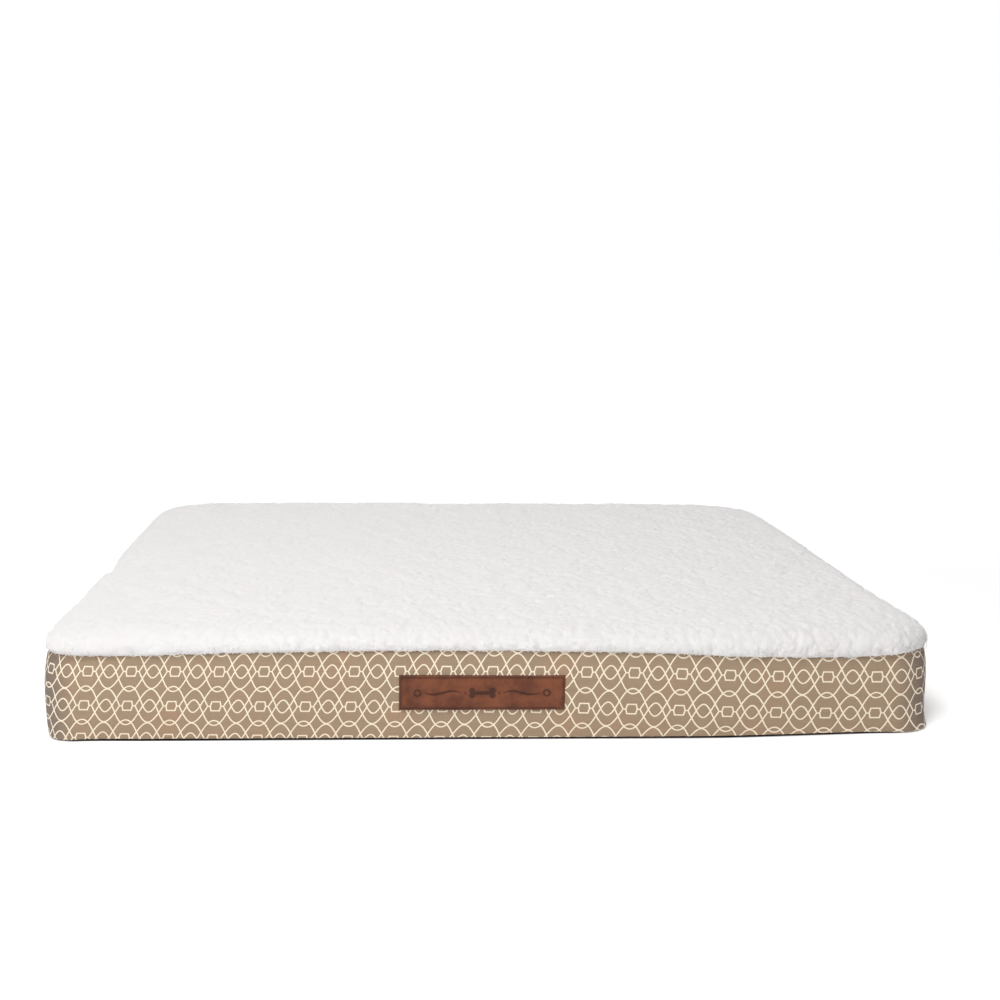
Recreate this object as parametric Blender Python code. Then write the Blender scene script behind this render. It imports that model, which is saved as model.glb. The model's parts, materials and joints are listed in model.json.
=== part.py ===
"""A pet cushion bed: a zipped, washable cover around two layers of foam.

Run it with: blender --background --python part.py

Metres, +Z up. The origin is at the middle of the footprint, on the floor. The front, with the
leather label, faces -Y, and the zip runs along the middle of the back wall, which faces +Y.
At rest the zip is closed, with its slider at the +X end.
"""

import math

import bmesh
import bpy
from mathutils import Vector

# ---- Driving dimensions ------------------------------------------------------------------------

BED_LENGTH = 0.914
BED_DEPTH = 0.686
BED_HEIGHT = 0.116
GAP = 0.0003  # between pieces that touch on the real bed

# The fleece top: a shallow tray, upside down, whose rim overhangs the wall
FLEECE_HALF_X = BED_LENGTH / 2
FLEECE_HALF_Y = BED_DEPTH / 2
FLEECE_CORNER = 0.038
FLEECE_RIM_Z = 0.0930
FLEECE_PILE = 0.0083  # thickness at the rim
FLEECE_UNDERSIDE_Z = 0.1041

# The printed wall of the cover
WALL_OVERHANG = 0.004
WALL_HALF_X = FLEECE_HALF_X - WALL_OVERHANG
WALL_HALF_Y = FLEECE_HALF_Y - WALL_OVERHANG
WALL_CORNER = 0.034
WALL_THICK = 0.0010
WALL_TOP_Z = 0.0915
HEM_RADIUS = 0.0060  # the wall turns under in this radius
HEM_LOW_Z = 0.0003

# The base cloth
BASE_THICK = 0.0012
BASE_INSET = 0.0065

# The two foam layers
FOAM_INSET = 0.0047
FOAM_CORNER = 0.030
FOAM_EDGE = 0.006
SUPPORT_LOW_Z = 0.0018
SUPPORT_HIGH_Z = 0.0398
CRATE_LOW_Z = 0.0401
CRATE_HIGH_Z = 0.1035

# The zip, size 5, in the back wall. NEAR and FAR are distances above and below its middle, ZIP_Z.
ZIP_Z = 0.0465
ZIP_HALF_X = 0.4150
STRIP_FROM_ZIP = 0.0060  # folded edge of each back strip
TAPE_HALF_X = 0.4140
TAPE_INNER_Y = 0.3371
TAPE_OUTER_Y = 0.3377
TAPE_NEAR = 0.0009
TAPE_FAR = 0.0140
COIL_HALF_X = 0.4050
COIL_INNER_Y = 0.3380
COIL_OUTER_Y = 0.3402
COIL_NEAR = 0.0007
COIL_FAR = 0.0031
STOP_LENGTH = 0.0040
STOP_NEAR = 0.0005
TACK_LENGTH = 0.0018
TACK_HALF_Z = 0.0045
TACK_THICK = 0.0009

# The slider, in its own frame: X along the zip, Y outwards, Z up, its origin in the coil's middle.
# The two plates are spans of Y.
SLIDER_X = 0.3920
SLIDER_Y = (COIL_INNER_Y + COIL_OUTER_Y) / 2
SLIDER_INNER_PLATE = (-0.0038, -0.0025)
SLIDER_OUTER_PLATE = (0.0016, 0.0031)
SLIDER_FLANGE_Y = -0.0010
SLIDER_FLANGE_Z = 0.0036
SLIDER_POST_Z = 0.00045
CAP_HALF_X = 0.0040
CAP_HALF_Z = 0.0012
CAP_THICK = 0.0008
CAP_HEIGHT = 0.0030
PULL_LENGTH = 0.0280
PULL_THICK = 0.0012
PULL_AXIS_Y = 0.0010  # above the slider's outer plate
PULL_WINDOW_Z = 0.0016

# The leather label on the front wall, and the care label on the back
LABEL_X = -0.0180
LABEL_Z = 0.0480
LABEL_HALF_X = 0.0868
LABEL_HALF_Z = 0.0185
LABEL_CORNER = 0.0025
LABEL_THICK = 0.0015
LABEL_STITCH_INSET = 0.0025
CARE_X = -0.3800
CARE_HALF_X = 0.0150
CARE_LOW_Z = 0.0070
CARE_HIGH_Z = 0.0360
CARE_THICK = 0.0008

THREAD_RADIUS = 0.00035
CORNER_STEPS = 8
THREAD_SIDES = 1  # bevel resolution: 1 gives a tube of 8 sides

# ---- Colours: (red, green, blue), roughness, metallic ------------------------------------------

FLEECE = ((0.84, 0.80, 0.74), 0.95, 0.0)
PRINTED_CLOTH = ((0.44, 0.33, 0.24), 0.90, 0.0)
BASE_CLOTH = ((0.035, 0.035, 0.038), 0.92, 0.0)
CRATE_FOAM = ((0.78, 0.72, 0.50), 0.95, 0.0)
SUPPORT_FOAM = ((0.62, 0.66, 0.70), 0.95, 0.0)
LEATHER = ((0.18, 0.075, 0.045), 0.55, 0.0)
DARK_THREAD = ((0.045, 0.028, 0.020), 0.80, 0.0)
TAN_THREAD = ((0.42, 0.31, 0.22), 0.80, 0.0)
ZIP_TAPE = ((0.30, 0.22, 0.15), 0.88, 0.0)
ZIP_COIL = ((0.28, 0.20, 0.14), 0.45, 0.0)
ZIP_METAL = ((0.32, 0.27, 0.20), 0.35, 1.0)
SATIN_LABEL = ((0.85, 0.84, 0.80), 0.60, 0.0)


# ---- Tools -------------------------------------------------------------------------------------


def clear_scene():
    """Remove every object that the file opened with."""
    for item in list(bpy.data.objects):
        bpy.data.objects.remove(item, do_unlink=True)


def make_material(name, look):
    """A Principled BSDF material from (colour, roughness, metallic)."""
    colour, roughness, metallic = look
    material = bpy.data.materials.new(name)
    material.use_nodes = True
    shader = material.node_tree.nodes["Principled BSDF"]
    shader.inputs["Base Color"].default_value = (*colour, 1.0)
    shader.inputs["Roughness"].default_value = roughness
    shader.inputs["Metallic"].default_value = metallic
    return material


def add_object(name, data, look, parent=None):
    """Link a mesh or a curve into the scene as one named sub-part."""
    item = bpy.data.objects.new(name, data)
    item.data.materials.append(make_material(name, look))
    item.parent = parent
    bpy.context.scene.collection.objects.link(item)
    return item


def mesh_from_rings(name, rings, look, parent=None, smooth_angle=40):
    """Skin a row of rings of equal length, and cap the first and the last."""
    bm = bmesh.new()
    made = [[bm.verts.new(point) for point in ring] for ring in rings]
    for first, second in zip(made, made[1:]):
        for i in range(len(first)):
            j = (i + 1) % len(first)
            bm.faces.new((first[i], first[j], second[j], second[i]))
    bm.faces.new(made[0])
    bm.faces.new(made[-1])
    bmesh.ops.recalc_face_normals(bm, faces=bm.faces)
    mesh = bpy.data.meshes.new(name)
    bm.to_mesh(mesh)
    bm.free()
    mesh.shade_smooth()
    mesh.set_sharp_from_angle(angle=math.radians(smooth_angle))
    return add_object(name, mesh, look, parent)


def outline(half_x, half_y, corner):
    """A rounded rectangle's points, anticlockwise, each with its outward normal.

    It runs from the back's -X end, round by the front, to the back's +X end.
    """
    points = []
    sides = ((-1, 1), (-1, -1), (1, -1), (1, 1))
    for turn, (side_x, side_y) in enumerate(sides):
        centre = Vector((side_x * (half_x - corner), side_y * (half_y - corner)))
        for step in range(CORNER_STEPS + 1):
            angle = math.radians(90 + 90 * (turn + step / CORNER_STEPS))
            normal = Vector((math.cos(angle), math.sin(angle)))
            points.append((centre + normal * corner, normal))
    return points


def rounded_ring(half_x, half_y, corner, inset, z):
    """The outline moved inwards by inset, as one ring of 3-D points at height z."""
    moved = outline(half_x - inset, half_y - inset, max(corner - inset, 0.002))
    return [(point.x, point.y, z) for point, _ in moved]


def box(name, low, high, look):
    """A plain box between two corners."""
    rings = [
        [(x, low[1], low[2]), (x, high[1], low[2]), (x, high[1], high[2]), (x, low[1], high[2])]
        for x in (low[0], high[0])
    ]
    return mesh_from_rings(name, rings, look)


def mirrored_pair(names, low, high, look):
    """Two boxes that face each other across the zip, upper first. Heights count from the zip."""
    box(names[0], (low[0], low[1], ZIP_Z + low[2]), (high[0], high[1], ZIP_Z + high[2]), look)
    box(names[1], (low[0], low[1], ZIP_Z - high[2]), (high[0], high[1], ZIP_Z - low[2]), look)


def tube(name, points, look, cyclic=False):
    """A run of sewing thread through the points, as a tube with closed ends."""
    curve = bpy.data.curves.new(name, "CURVE")
    curve.dimensions = "3D"
    curve.bevel_depth = THREAD_RADIUS
    curve.bevel_resolution = THREAD_SIDES
    curve.use_fill_caps = True
    spline = curve.splines.new("POLY")
    spline.points.add(len(points) - 1)
    for place, point in zip(spline.points, points):
        place.co = (*point, 1.0)
    spline.use_cyclic_u = cyclic
    return add_object(name, curve, look)


def slab(name, low_z, high_z, look):
    """A foam layer: a rounded rectangle with rounded upper and lower edges."""
    half_x = WALL_HALF_X - FOAM_INSET
    half_y = WALL_HALF_Y - FOAM_INSET
    edge = [
        (FOAM_EDGE * (1 - math.cos(angle)), FOAM_EDGE * (1 - math.sin(angle)))
        for angle in (math.radians(90 * step / 3) for step in range(4))
    ]
    below = [rounded_ring(half_x, half_y, FOAM_CORNER, i, low_z + d) for i, d in reversed(edge)]
    above = [rounded_ring(half_x, half_y, FOAM_CORNER, i, high_z - d) for i, d in edge]
    return mesh_from_rings(name, below + above, look)


# ---- The cover ---------------------------------------------------------------------------------


def make_fleece_top():
    """The sherpa panel: a domed skin whose rim turns down over the top of the wall."""
    outer_profile = (
        (0.0015, FLEECE_RIM_Z),
        (0.0002, FLEECE_RIM_Z + 0.004),
        (0.0000, FLEECE_RIM_Z + 0.010),
        (0.0020, FLEECE_RIM_Z + 0.016),
        (0.0080, FLEECE_RIM_Z + 0.0200),
        (0.0220, FLEECE_RIM_Z + 0.0215),
        (0.0700, BED_HEIGHT - 0.0008),
        (0.1100, BED_HEIGHT),
    )
    inner_profile = (
        (FLEECE_PILE, FLEECE_RIM_Z),
        (FLEECE_PILE, FLEECE_UNDERSIDE_Z - 0.002),
        (FLEECE_PILE + 0.002, FLEECE_UNDERSIDE_Z),
    )
    rings = [
        rounded_ring(FLEECE_HALF_X, FLEECE_HALF_Y, FLEECE_CORNER, inset, z)
        for inset, z in reversed(outer_profile)
    ]
    rings += [
        rounded_ring(FLEECE_HALF_X, FLEECE_HALF_Y, FLEECE_CORNER, inset, z)
        for inset, z in inner_profile
    ]
    mesh_from_rings("fleece_top_panel", rings, FLEECE)


def hem_profile():
    """The wall's outer line, from its top down and under, as (inset, z)."""
    line = [(0.0, WALL_TOP_Z), (0.0, WALL_TOP_Z / 2)]
    for step in range(5):
        angle = math.radians(90 * step / 4)
        inset = HEM_RADIUS * (1 - math.cos(angle))
        line.append((inset, HEM_LOW_Z + HEM_RADIUS * (1 - math.sin(angle))))
    return line


def wall_section(line):
    """A closed section for a wall of even thickness, whose outer side is the line."""
    inner = []
    for i, (inset, z) in enumerate(line):
        before = line[max(i - 1, 0)]
        after = line[min(i + 1, len(line) - 1)]
        run = Vector((after[0] - before[0], after[1] - before[1])).normalized()
        inner.append((inset - run.y * WALL_THICK, z + run.x * WALL_THICK))
    return line + inner[::-1]


def make_front_and_side_wall():
    """One printed strip round the front, both sides and the two back corners."""
    path = outline(WALL_HALF_X, WALL_HALF_Y, WALL_CORNER)
    end_x = ZIP_HALF_X + 0.0005
    back_left = (Vector((-end_x, WALL_HALF_Y)), Vector((0, 1)))
    back_right = (Vector((end_x, WALL_HALF_Y)), Vector((0, 1)))
    section = wall_section(hem_profile())
    rings = []
    for point, normal in [back_left, *path, back_right]:
        places = [(point - normal * inset, z) for inset, z in section]
        rings.append([(place.x, place.y, z) for place, z in places])
    mesh_from_rings("gusset_band", rings, PRINTED_CLOTH)


def make_back_wall():
    """The two strips of the back wall, above and below the zip."""
    inner_y = WALL_HALF_Y - WALL_THICK
    box(
        "gusset_back_upper",
        (-ZIP_HALF_X, inner_y, ZIP_Z + STRIP_FROM_ZIP),
        (ZIP_HALF_X, WALL_HALF_Y, WALL_TOP_Z),
        PRINTED_CLOTH,
    )
    top = ZIP_Z - STRIP_FROM_ZIP
    line = [(0.0, top), (0.0, top / 2), *hem_profile()[2:]]
    section = wall_section(line)
    rings = [[(x, WALL_HALF_Y - inset, z) for inset, z in section] for x in (-ZIP_HALF_X, ZIP_HALF_X)]
    mesh_from_rings("gusset_back_lower", rings, PRINTED_CLOTH)


def make_base_and_foam():
    """The base cloth, the firm slab on it and the convoluted layer over that."""
    inset = BASE_INSET
    rings = [rounded_ring(WALL_HALF_X, WALL_HALF_Y, WALL_CORNER, inset, z) for z in (0.0, BASE_THICK)]
    mesh_from_rings("bottom_panel", rings, BASE_CLOTH)
    slab("support_foam", SUPPORT_LOW_Z, SUPPORT_HIGH_Z, SUPPORT_FOAM)
    slab("egg_crate_foam", CRATE_LOW_Z, CRATE_HIGH_Z, CRATE_FOAM)


def make_seam_threads():
    """The threads that hold the top, the base and the back strips to the wall."""
    top_z = (WALL_TOP_Z + FLEECE_RIM_Z) / 2
    top = rounded_ring(WALL_HALF_X, WALL_HALF_Y, WALL_CORNER, WALL_THICK / 2, top_z)
    tube("top_seam_thread", top, TAN_THREAD, cyclic=True)
    base_z = BASE_THICK + GAP + THREAD_RADIUS
    base = rounded_ring(WALL_HALF_X, WALL_HALF_Y, WALL_CORNER, BASE_INSET + 0.0012, base_z)
    tube("bottom_seam_thread", base, DARK_THREAD, cyclic=True)
    seam_y = WALL_HALF_Y - WALL_THICK - GAP - THREAD_RADIUS
    seam_x = ZIP_HALF_X + 0.00025
    for side, name in ((-1, "back_seam_thread_left"), (1, "back_seam_thread_right")):
        ends = [(side * seam_x, seam_y, 0.014), (side * seam_x, seam_y, WALL_TOP_Z - 0.003)]
        tube(name, ends, TAN_THREAD)
    row_y = WALL_HALF_Y + GAP + THREAD_RADIUS
    for side, name in ((1, "zip_topstitch_upper"), (-1, "zip_topstitch_lower")):
        row_z = ZIP_Z + side * (STRIP_FROM_ZIP + 0.0025)
        tube(name, [(-TAPE_HALF_X, row_y, row_z), (TAPE_HALF_X, row_y, row_z)], TAN_THREAD)


# ---- The labels --------------------------------------------------------------------------------


def label_ring(inset, y):
    """The leather label's outline, moved inwards by inset, in the plane at y."""
    flat = outline(LABEL_HALF_X - inset, LABEL_HALF_Z - inset, LABEL_CORNER)
    return [(LABEL_X + point.x, y, LABEL_Z + point.y) for point, _ in flat]


def make_labels():
    """The stitched leather label and the folded care label."""
    back_y = -WALL_HALF_Y - GAP
    front_y = back_y - LABEL_THICK
    edge = LABEL_THICK * 0.4
    rings = [label_ring(0.0, back_y), label_ring(0.0, front_y + edge), label_ring(edge, front_y)]
    mesh_from_rings("label_patch", rings, LEATHER)
    thread_y = front_y - GAP - THREAD_RADIUS
    tube("label_thread", label_ring(LABEL_STITCH_INSET, thread_y), DARK_THREAD, cyclic=True)
    care_y = WALL_HALF_Y + GAP
    box(
        "care_label",
        (CARE_X - CARE_HALF_X, care_y, CARE_LOW_Z),
        (CARE_X + CARE_HALF_X, care_y + CARE_THICK, CARE_HIGH_Z),
        SATIN_LABEL,
    )


# ---- The zip -----------------------------------------------------------------------------------


def make_chain():
    """The tapes, the two coils in mesh, their stops and the tacks at both ends."""
    mirrored_pair(
        ("zipper_tape_upper", "zipper_tape_lower"),
        (-TAPE_HALF_X, TAPE_INNER_Y, TAPE_NEAR),
        (TAPE_HALF_X, TAPE_OUTER_Y, TAPE_FAR),
        ZIP_TAPE,
    )
    mirrored_pair(
        ("zipper_coil_upper", "zipper_coil_lower"),
        (-COIL_HALF_X, COIL_INNER_Y, COIL_NEAR),
        (COIL_HALF_X, COIL_OUTER_Y, COIL_FAR),
        ZIP_COIL,
    )
    stop_near = COIL_HALF_X + GAP
    stop_far = stop_near + STOP_LENGTH
    mirrored_pair(
        ("zipper_top_stop_upper", "zipper_top_stop_lower"),
        (stop_near, COIL_INNER_Y, STOP_NEAR),
        (stop_far, COIL_OUTER_Y, COIL_FAR),
        ZIP_METAL,
    )
    box(
        "zipper_bottom_stop",
        (-stop_far, COIL_INNER_Y, ZIP_Z - COIL_FAR),
        (-stop_near, COIL_OUTER_Y, ZIP_Z + COIL_FAR),
        ZIP_METAL,
    )
    tack_near = stop_far + 2 * GAP
    tack_far = tack_near + TACK_LENGTH
    for name, low_x, high_x in (
        ("bar_tack_left", -tack_far, -tack_near),
        ("bar_tack_right", tack_near, tack_far),
    ):
        low = (low_x, COIL_INNER_Y, ZIP_Z - TACK_HALF_Z)
        high = (high_x, COIL_INNER_Y + TACK_THICK, ZIP_Z + TACK_HALF_Z)
        box(name, low, high, TAN_THREAD)


def slider_section(half_z):
    """The slider cut across the zip: two plates, the post between them and the flanges."""
    inner_low, inner_high = SLIDER_INNER_PLATE
    outer_low, outer_high = SLIDER_OUTER_PLATE
    half = [
        (inner_low, half_z),
        (inner_high, half_z),
        (inner_high, SLIDER_POST_Z),
        (outer_low, SLIDER_POST_Z),
        (outer_low, SLIDER_FLANGE_Z),
        (SLIDER_FLANGE_Y, SLIDER_FLANGE_Z),
        (SLIDER_FLANGE_Y, half_z),
        (outer_high - 0.0004, half_z),
        (outer_high, half_z - 0.0004),
    ]
    return half + [(y, -z) for y, z in reversed(half)]


def make_slider(origin):
    """The slider's body, wider towards the closed end, and the cap that holds the pull."""
    stations = (
        (-0.0060, 0.0043),
        (-0.0050, 0.0047),
        (0.0000, 0.0049),
        (0.0045, 0.0053),
        (0.0060, 0.0046),
    )
    rings = [[(x, y, z) for y, z in slider_section(half_z)] for x, half_z in stations]
    mesh_from_rings("zipper_slider_body", rings, ZIP_METAL, parent=origin, smooth_angle=30)

    foot = SLIDER_OUTER_PLATE[1] + GAP
    crown = SLIDER_OUTER_PLATE[1] + CAP_HEIGHT
    bend = 0.0008
    outside = [(-CAP_HALF_X, foot), (-CAP_HALF_X, crown - bend), (-CAP_HALF_X + bend, crown)]
    inside = [
        (-CAP_HALF_X + CAP_THICK, foot),
        (-CAP_HALF_X + CAP_THICK, crown - CAP_THICK - bend * 0.25),
        (-CAP_HALF_X + CAP_THICK + bend * 0.25, crown - CAP_THICK),
    ]
    arch = outside + [(-x, y) for x, y in reversed(outside)]
    arch += [(-x, y) for x, y in inside] + list(reversed(inside))
    rings = [[(x, y, z) for x, y in arch] for z in (-CAP_HALF_Z, CAP_HALF_Z)]
    mesh_from_rings("zipper_slider_cap", rings, ZIP_METAL, parent=origin, smooth_angle=30)


def pull_outline():
    """The pull tab seen from outside, as (x, z), with its hinge bar at the origin."""
    near = 0.0006
    half = [(near, 0.0022), (near - 0.0010, 0.0032), (-0.0060, 0.0032), (-0.0085, 0.0024)]
    half += [(-PULL_LENGTH + 0.0080, 0.0036)]
    for step in range(1, 6):
        angle = math.radians(90 * step / 5)
        half.append((-PULL_LENGTH + 0.0036 * (1 - math.sin(angle)), 0.0036 * math.cos(angle)))
    return half + [(x, -z) for x, z in reversed(half[:-1])]


def window_cutter(name, x_low, x_high, half_z, parent):
    """A guide with round ends that cuts one window through the pull tab."""
    ring = []
    for turn, side in ((0, 1), (1, -1)):
        for step in range(7):
            angle = math.radians(-90 + 180 * turn + 30 * step)
            middle = x_high - half_z if side > 0 else x_low + half_z
            ring.append((middle + half_z * math.cos(angle), half_z * math.sin(angle)))
    rings = [[(x, y, z) for x, z in ring] for y in (-PULL_THICK, PULL_THICK)]
    cutter = mesh_from_rings(name, rings, ZIP_METAL, parent=parent)
    cutter.hide_render = True
    cutter.display_type = "WIRE"
    return cutter


def make_pull(slider_origin):
    """The pull tab, hung by its bar under the slider's cap. Its origin is on the hinge axis."""
    axis = bpy.data.objects.new("pull_axis", None)
    axis.parent = slider_origin
    axis.location = (0, SLIDER_OUTER_PLATE[1] + PULL_AXIS_Y, 0)
    bpy.context.scene.collection.objects.link(axis)
    half_y = PULL_THICK / 2
    rings = [[(x, y, z) for x, z in pull_outline()] for y in (-half_y, half_y)]
    pull = mesh_from_rings("zipper_pull_tab", rings, ZIP_METAL, parent=axis, smooth_angle=30)
    cutters = (
        window_cutter("cap_window_cutter", -0.0050, -0.0006, PULL_WINDOW_Z, axis),
        window_cutter("grip_window_cutter", -PULL_LENGTH + 0.0022, -0.0130, 0.0014, axis),
    )
    for cutter in cutters:
        cut = pull.modifiers.new(cutter.name, "BOOLEAN")
        cut.operation = "DIFFERENCE"
        cut.solver = "EXACT"
        cut.object = cutter


def make_slider_and_pull():
    """Place the slider at the zip's closed end, with its pull lying back along the zip."""
    origin = bpy.data.objects.new("slider_origin", None)
    origin.location = (SLIDER_X, SLIDER_Y, ZIP_Z)
    bpy.context.scene.collection.objects.link(origin)
    make_slider(origin)
    make_pull(origin)


def main():
    clear_scene()
    make_fleece_top()
    make_front_and_side_wall()
    make_back_wall()
    make_base_and_foam()
    make_seam_threads()
    make_labels()
    make_chain()
    make_slider_and_pull()


main()
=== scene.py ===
"""The looks of a pet cushion bed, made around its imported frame.

Each class makes one sub-assembly: the fleece top, the printed wall, the base, the foam, the
leather label, the zip and the sewing. CoverForm holds the shape that they share. Lengths are in
metres, +Z is up, and the label faces -Y.
"""

from __future__ import annotations

import json
import logging
import math
from collections.abc import Sequence
from dataclasses import dataclass, field
from enum import Enum
from typing import NamedTuple, Union

import bmesh
import bpy
import numpy as np
from mathutils import Matrix, Vector, noise

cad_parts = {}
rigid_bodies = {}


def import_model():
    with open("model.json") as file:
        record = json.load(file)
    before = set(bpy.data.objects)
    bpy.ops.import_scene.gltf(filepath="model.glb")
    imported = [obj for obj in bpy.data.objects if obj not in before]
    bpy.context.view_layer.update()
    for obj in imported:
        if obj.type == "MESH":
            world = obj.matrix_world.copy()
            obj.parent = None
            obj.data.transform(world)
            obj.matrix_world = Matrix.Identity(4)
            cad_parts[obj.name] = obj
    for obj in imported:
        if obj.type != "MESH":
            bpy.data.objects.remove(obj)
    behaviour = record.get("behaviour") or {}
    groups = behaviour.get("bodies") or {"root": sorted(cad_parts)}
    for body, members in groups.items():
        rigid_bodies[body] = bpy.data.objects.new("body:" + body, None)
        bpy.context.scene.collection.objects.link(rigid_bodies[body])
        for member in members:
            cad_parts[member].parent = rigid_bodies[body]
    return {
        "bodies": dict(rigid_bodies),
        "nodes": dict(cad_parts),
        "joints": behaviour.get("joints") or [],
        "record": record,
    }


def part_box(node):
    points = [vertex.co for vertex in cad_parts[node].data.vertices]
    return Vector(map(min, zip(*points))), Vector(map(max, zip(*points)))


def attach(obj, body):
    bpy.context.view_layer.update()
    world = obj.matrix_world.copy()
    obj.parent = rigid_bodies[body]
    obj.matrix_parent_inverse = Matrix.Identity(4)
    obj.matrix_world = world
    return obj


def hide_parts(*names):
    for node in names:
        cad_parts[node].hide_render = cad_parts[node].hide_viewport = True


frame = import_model()

LOG = logging.getLogger("pet_bed")
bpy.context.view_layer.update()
MM = 0.001

Colour = tuple[float, float, float]
Number = Union["Value", float]


class Body(Enum):
    """The rigid bodies that pieces ride on."""

    BED = "bed"
    SLIDER = "slider"
    PULL = "pull"


# ---- Node trees --------------------------------------------------------------------------------


class Value:
    """A node's output, with Python's arithmetic."""

    def __init__(self, graph: Graph, socket: bpy.types.NodeSocket) -> None:
        """Wrap one output socket of a graph."""
        self.graph = graph
        self.socket = socket

    def __add__(self, other: Number) -> Value:
        """self + other."""
        return self.graph.maths("ADD", self, other)

    def __radd__(self, other: Number) -> Value:
        """other + self."""
        return self.graph.maths("ADD", other, self)

    def __sub__(self, other: Number) -> Value:
        """self - other."""
        return self.graph.maths("SUBTRACT", self, other)

    def __rsub__(self, other: Number) -> Value:
        """other - self."""
        return self.graph.maths("SUBTRACT", other, self)

    def __mul__(self, other: Number) -> Value:
        """self * other."""
        return self.graph.maths("MULTIPLY", self, other)

    def __truediv__(self, other: Number) -> Value:
        """self / other."""
        return self.graph.maths("DIVIDE", self, other)

    def __rtruediv__(self, other: Number) -> Value:
        """other / self."""
        return self.graph.maths("DIVIDE", other, self)

    def __neg__(self) -> Value:
        """The value with its sign changed."""
        return self.graph.maths("MULTIPLY", self, -1.0)

    def __abs__(self) -> Value:
        """The value without its sign."""
        return self.graph.maths("ABSOLUTE", self)


class Graph:
    """Adds nodes to one tree, for a finish or for a Geometry Nodes rule."""

    def __init__(self, tree: bpy.types.NodeTree) -> None:
        """Keep the tree that nodes are added to."""
        self.tree = tree

    def node(
        self, kind: str, feeds: dict[int | str, object] | None = None, **settings: object
    ) -> bpy.types.Node:
        """Add a node.

        Args:
            kind: The node's type name.
            feeds: What goes into its sockets, by index or name: numbers, values or sockets.
            settings: The node's own properties, set before its sockets are fed.

        Returns:
            The new node.
        """
        node = self.tree.nodes.new(kind)
        for name, setting in settings.items():
            setattr(node, name, setting)
        for key, given in (feeds or {}).items():
            self.feed(node.inputs[key], given)
        return node

    def feed(self, socket: bpy.types.NodeSocket, given: object) -> None:
        """Link or set one input socket."""
        if isinstance(given, Value):
            given = given.socket
        if isinstance(given, bpy.types.NodeSocket):
            self.tree.links.new(given, socket)
        else:
            socket.default_value = given

    def value(
        self,
        kind: str,
        feeds: dict[int | str, object] | None = None,
        output: int | str = 0,
        **settings: object,
    ) -> Value:
        """Add a node and return one of its outputs as a value."""
        return Value(self, self.node(kind, feeds, **settings).outputs[output])

    def maths(self, operation: str, *terms: Number) -> Value:
        """One Math node over the terms."""
        return self.value("ShaderNodeMath", dict(enumerate(terms)), operation=operation)

    def least(self, first: Number, second: Number) -> Value:
        """The smaller of two values."""
        return self.maths("MINIMUM", first, second)

    def most(self, first: Number, second: Number) -> Value:
        """The larger of two values."""
        return self.maths("MAXIMUM", first, second)

    def step(self, value: Number, low: float, high: float) -> Value:
        """A smooth step from 0 at low to 1 at high."""
        feeds = {0: value, 1: low, 2: high, 3: 0.0, 4: 1.0}
        return self.value("ShaderNodeMapRange", feeds, interpolation_type="SMOOTHSTEP")

    def parts(self, vector: Value) -> tuple[Value, Value, Value]:
        """A vector's three numbers."""
        node = self.node("ShaderNodeSeparateXYZ", {0: vector})
        return tuple(Value(self, output) for output in node.outputs)

    def join(self, x: Number, y: Number, z: Number = 0.0) -> Value:
        """A vector from three numbers."""
        return self.value("ShaderNodeCombineXYZ", {0: x, 1: y, 2: z})

    def stretched(self, vector: Value, factors: Sequence[float]) -> Value:
        """A vector with each part multiplied."""
        return self.value("ShaderNodeVectorMath", {0: vector, 1: factors}, operation="MULTIPLY")

    def noise(self, where: Value, scale: float, detail: float = 2.0, roughness: float = 0.5) -> Value:
        """Smooth noise from 0 to 1, with scale features to the metre."""
        feeds = {"Vector": where, "Scale": scale, "Detail": detail, "Roughness": roughness}
        return self.value("ShaderNodeTexNoise", feeds)

    def cells(self, where: Value, scale: float, feature: str = "F1", output: int = 0) -> Value:
        """Voronoi cells, scale to the metre: the distance, or with output 1 the cell's colour."""
        return self.value(
            "ShaderNodeTexVoronoi", {"Vector": where, "Scale": scale}, output, feature=feature
        )

    def mix(self, factor: Number, first: Value | Colour, second: Value | Colour) -> Value:
        """Blend two colours."""
        feeds = {0: factor, 6: opaque(first), 7: opaque(second)}
        return self.value("ShaderNodeMix", feeds, 2, data_type="RGBA")

    def tint(self, colour: Value | Colour, amount: Number) -> Value:
        """Make a colour lighter or darker: 1 leaves it as it is."""
        grey = self.node("ShaderNodeCombineColor", {0: amount, 1: amount, 2: amount}).outputs[0]
        feeds = {0: 1.0, 6: opaque(colour), 7: grey}
        return self.value("ShaderNodeMix", feeds, 2, data_type="RGBA", blend_type="MULTIPLY")


def opaque(colour: Value | Colour) -> Value | tuple[float, float, float, float]:
    """A plain colour with the alpha that a colour socket needs."""
    return colour if isinstance(colour, Value) else (*colour, 1.0)


class FinishGraph(Graph):
    """A material's node tree, with the coordinates that finishes read."""

    def place(self) -> Value:
        """Where the point is on the object, in metres."""
        return self.value("ShaderNodeTexCoord", output="Object")

    def uv(self, name: str) -> Value:
        """A named UV map."""
        return self.value("ShaderNodeUVMap", uv_map=name)

    def attribute(self, name: str) -> Value:
        """A named number on the mesh."""
        return self.value("ShaderNodeAttribute", output="Fac", attribute_name=name)


# ---- Finishes ----------------------------------------------------------------------------------


class Coat(NamedTuple):
    """What a finish varies over a surface: its colour, its relief in metres, its roughness."""

    colour: Value
    relief: Value
    roughness: Number
    glow: Value | None = None


MADE: dict[str, bpy.types.Material] = {}


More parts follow.
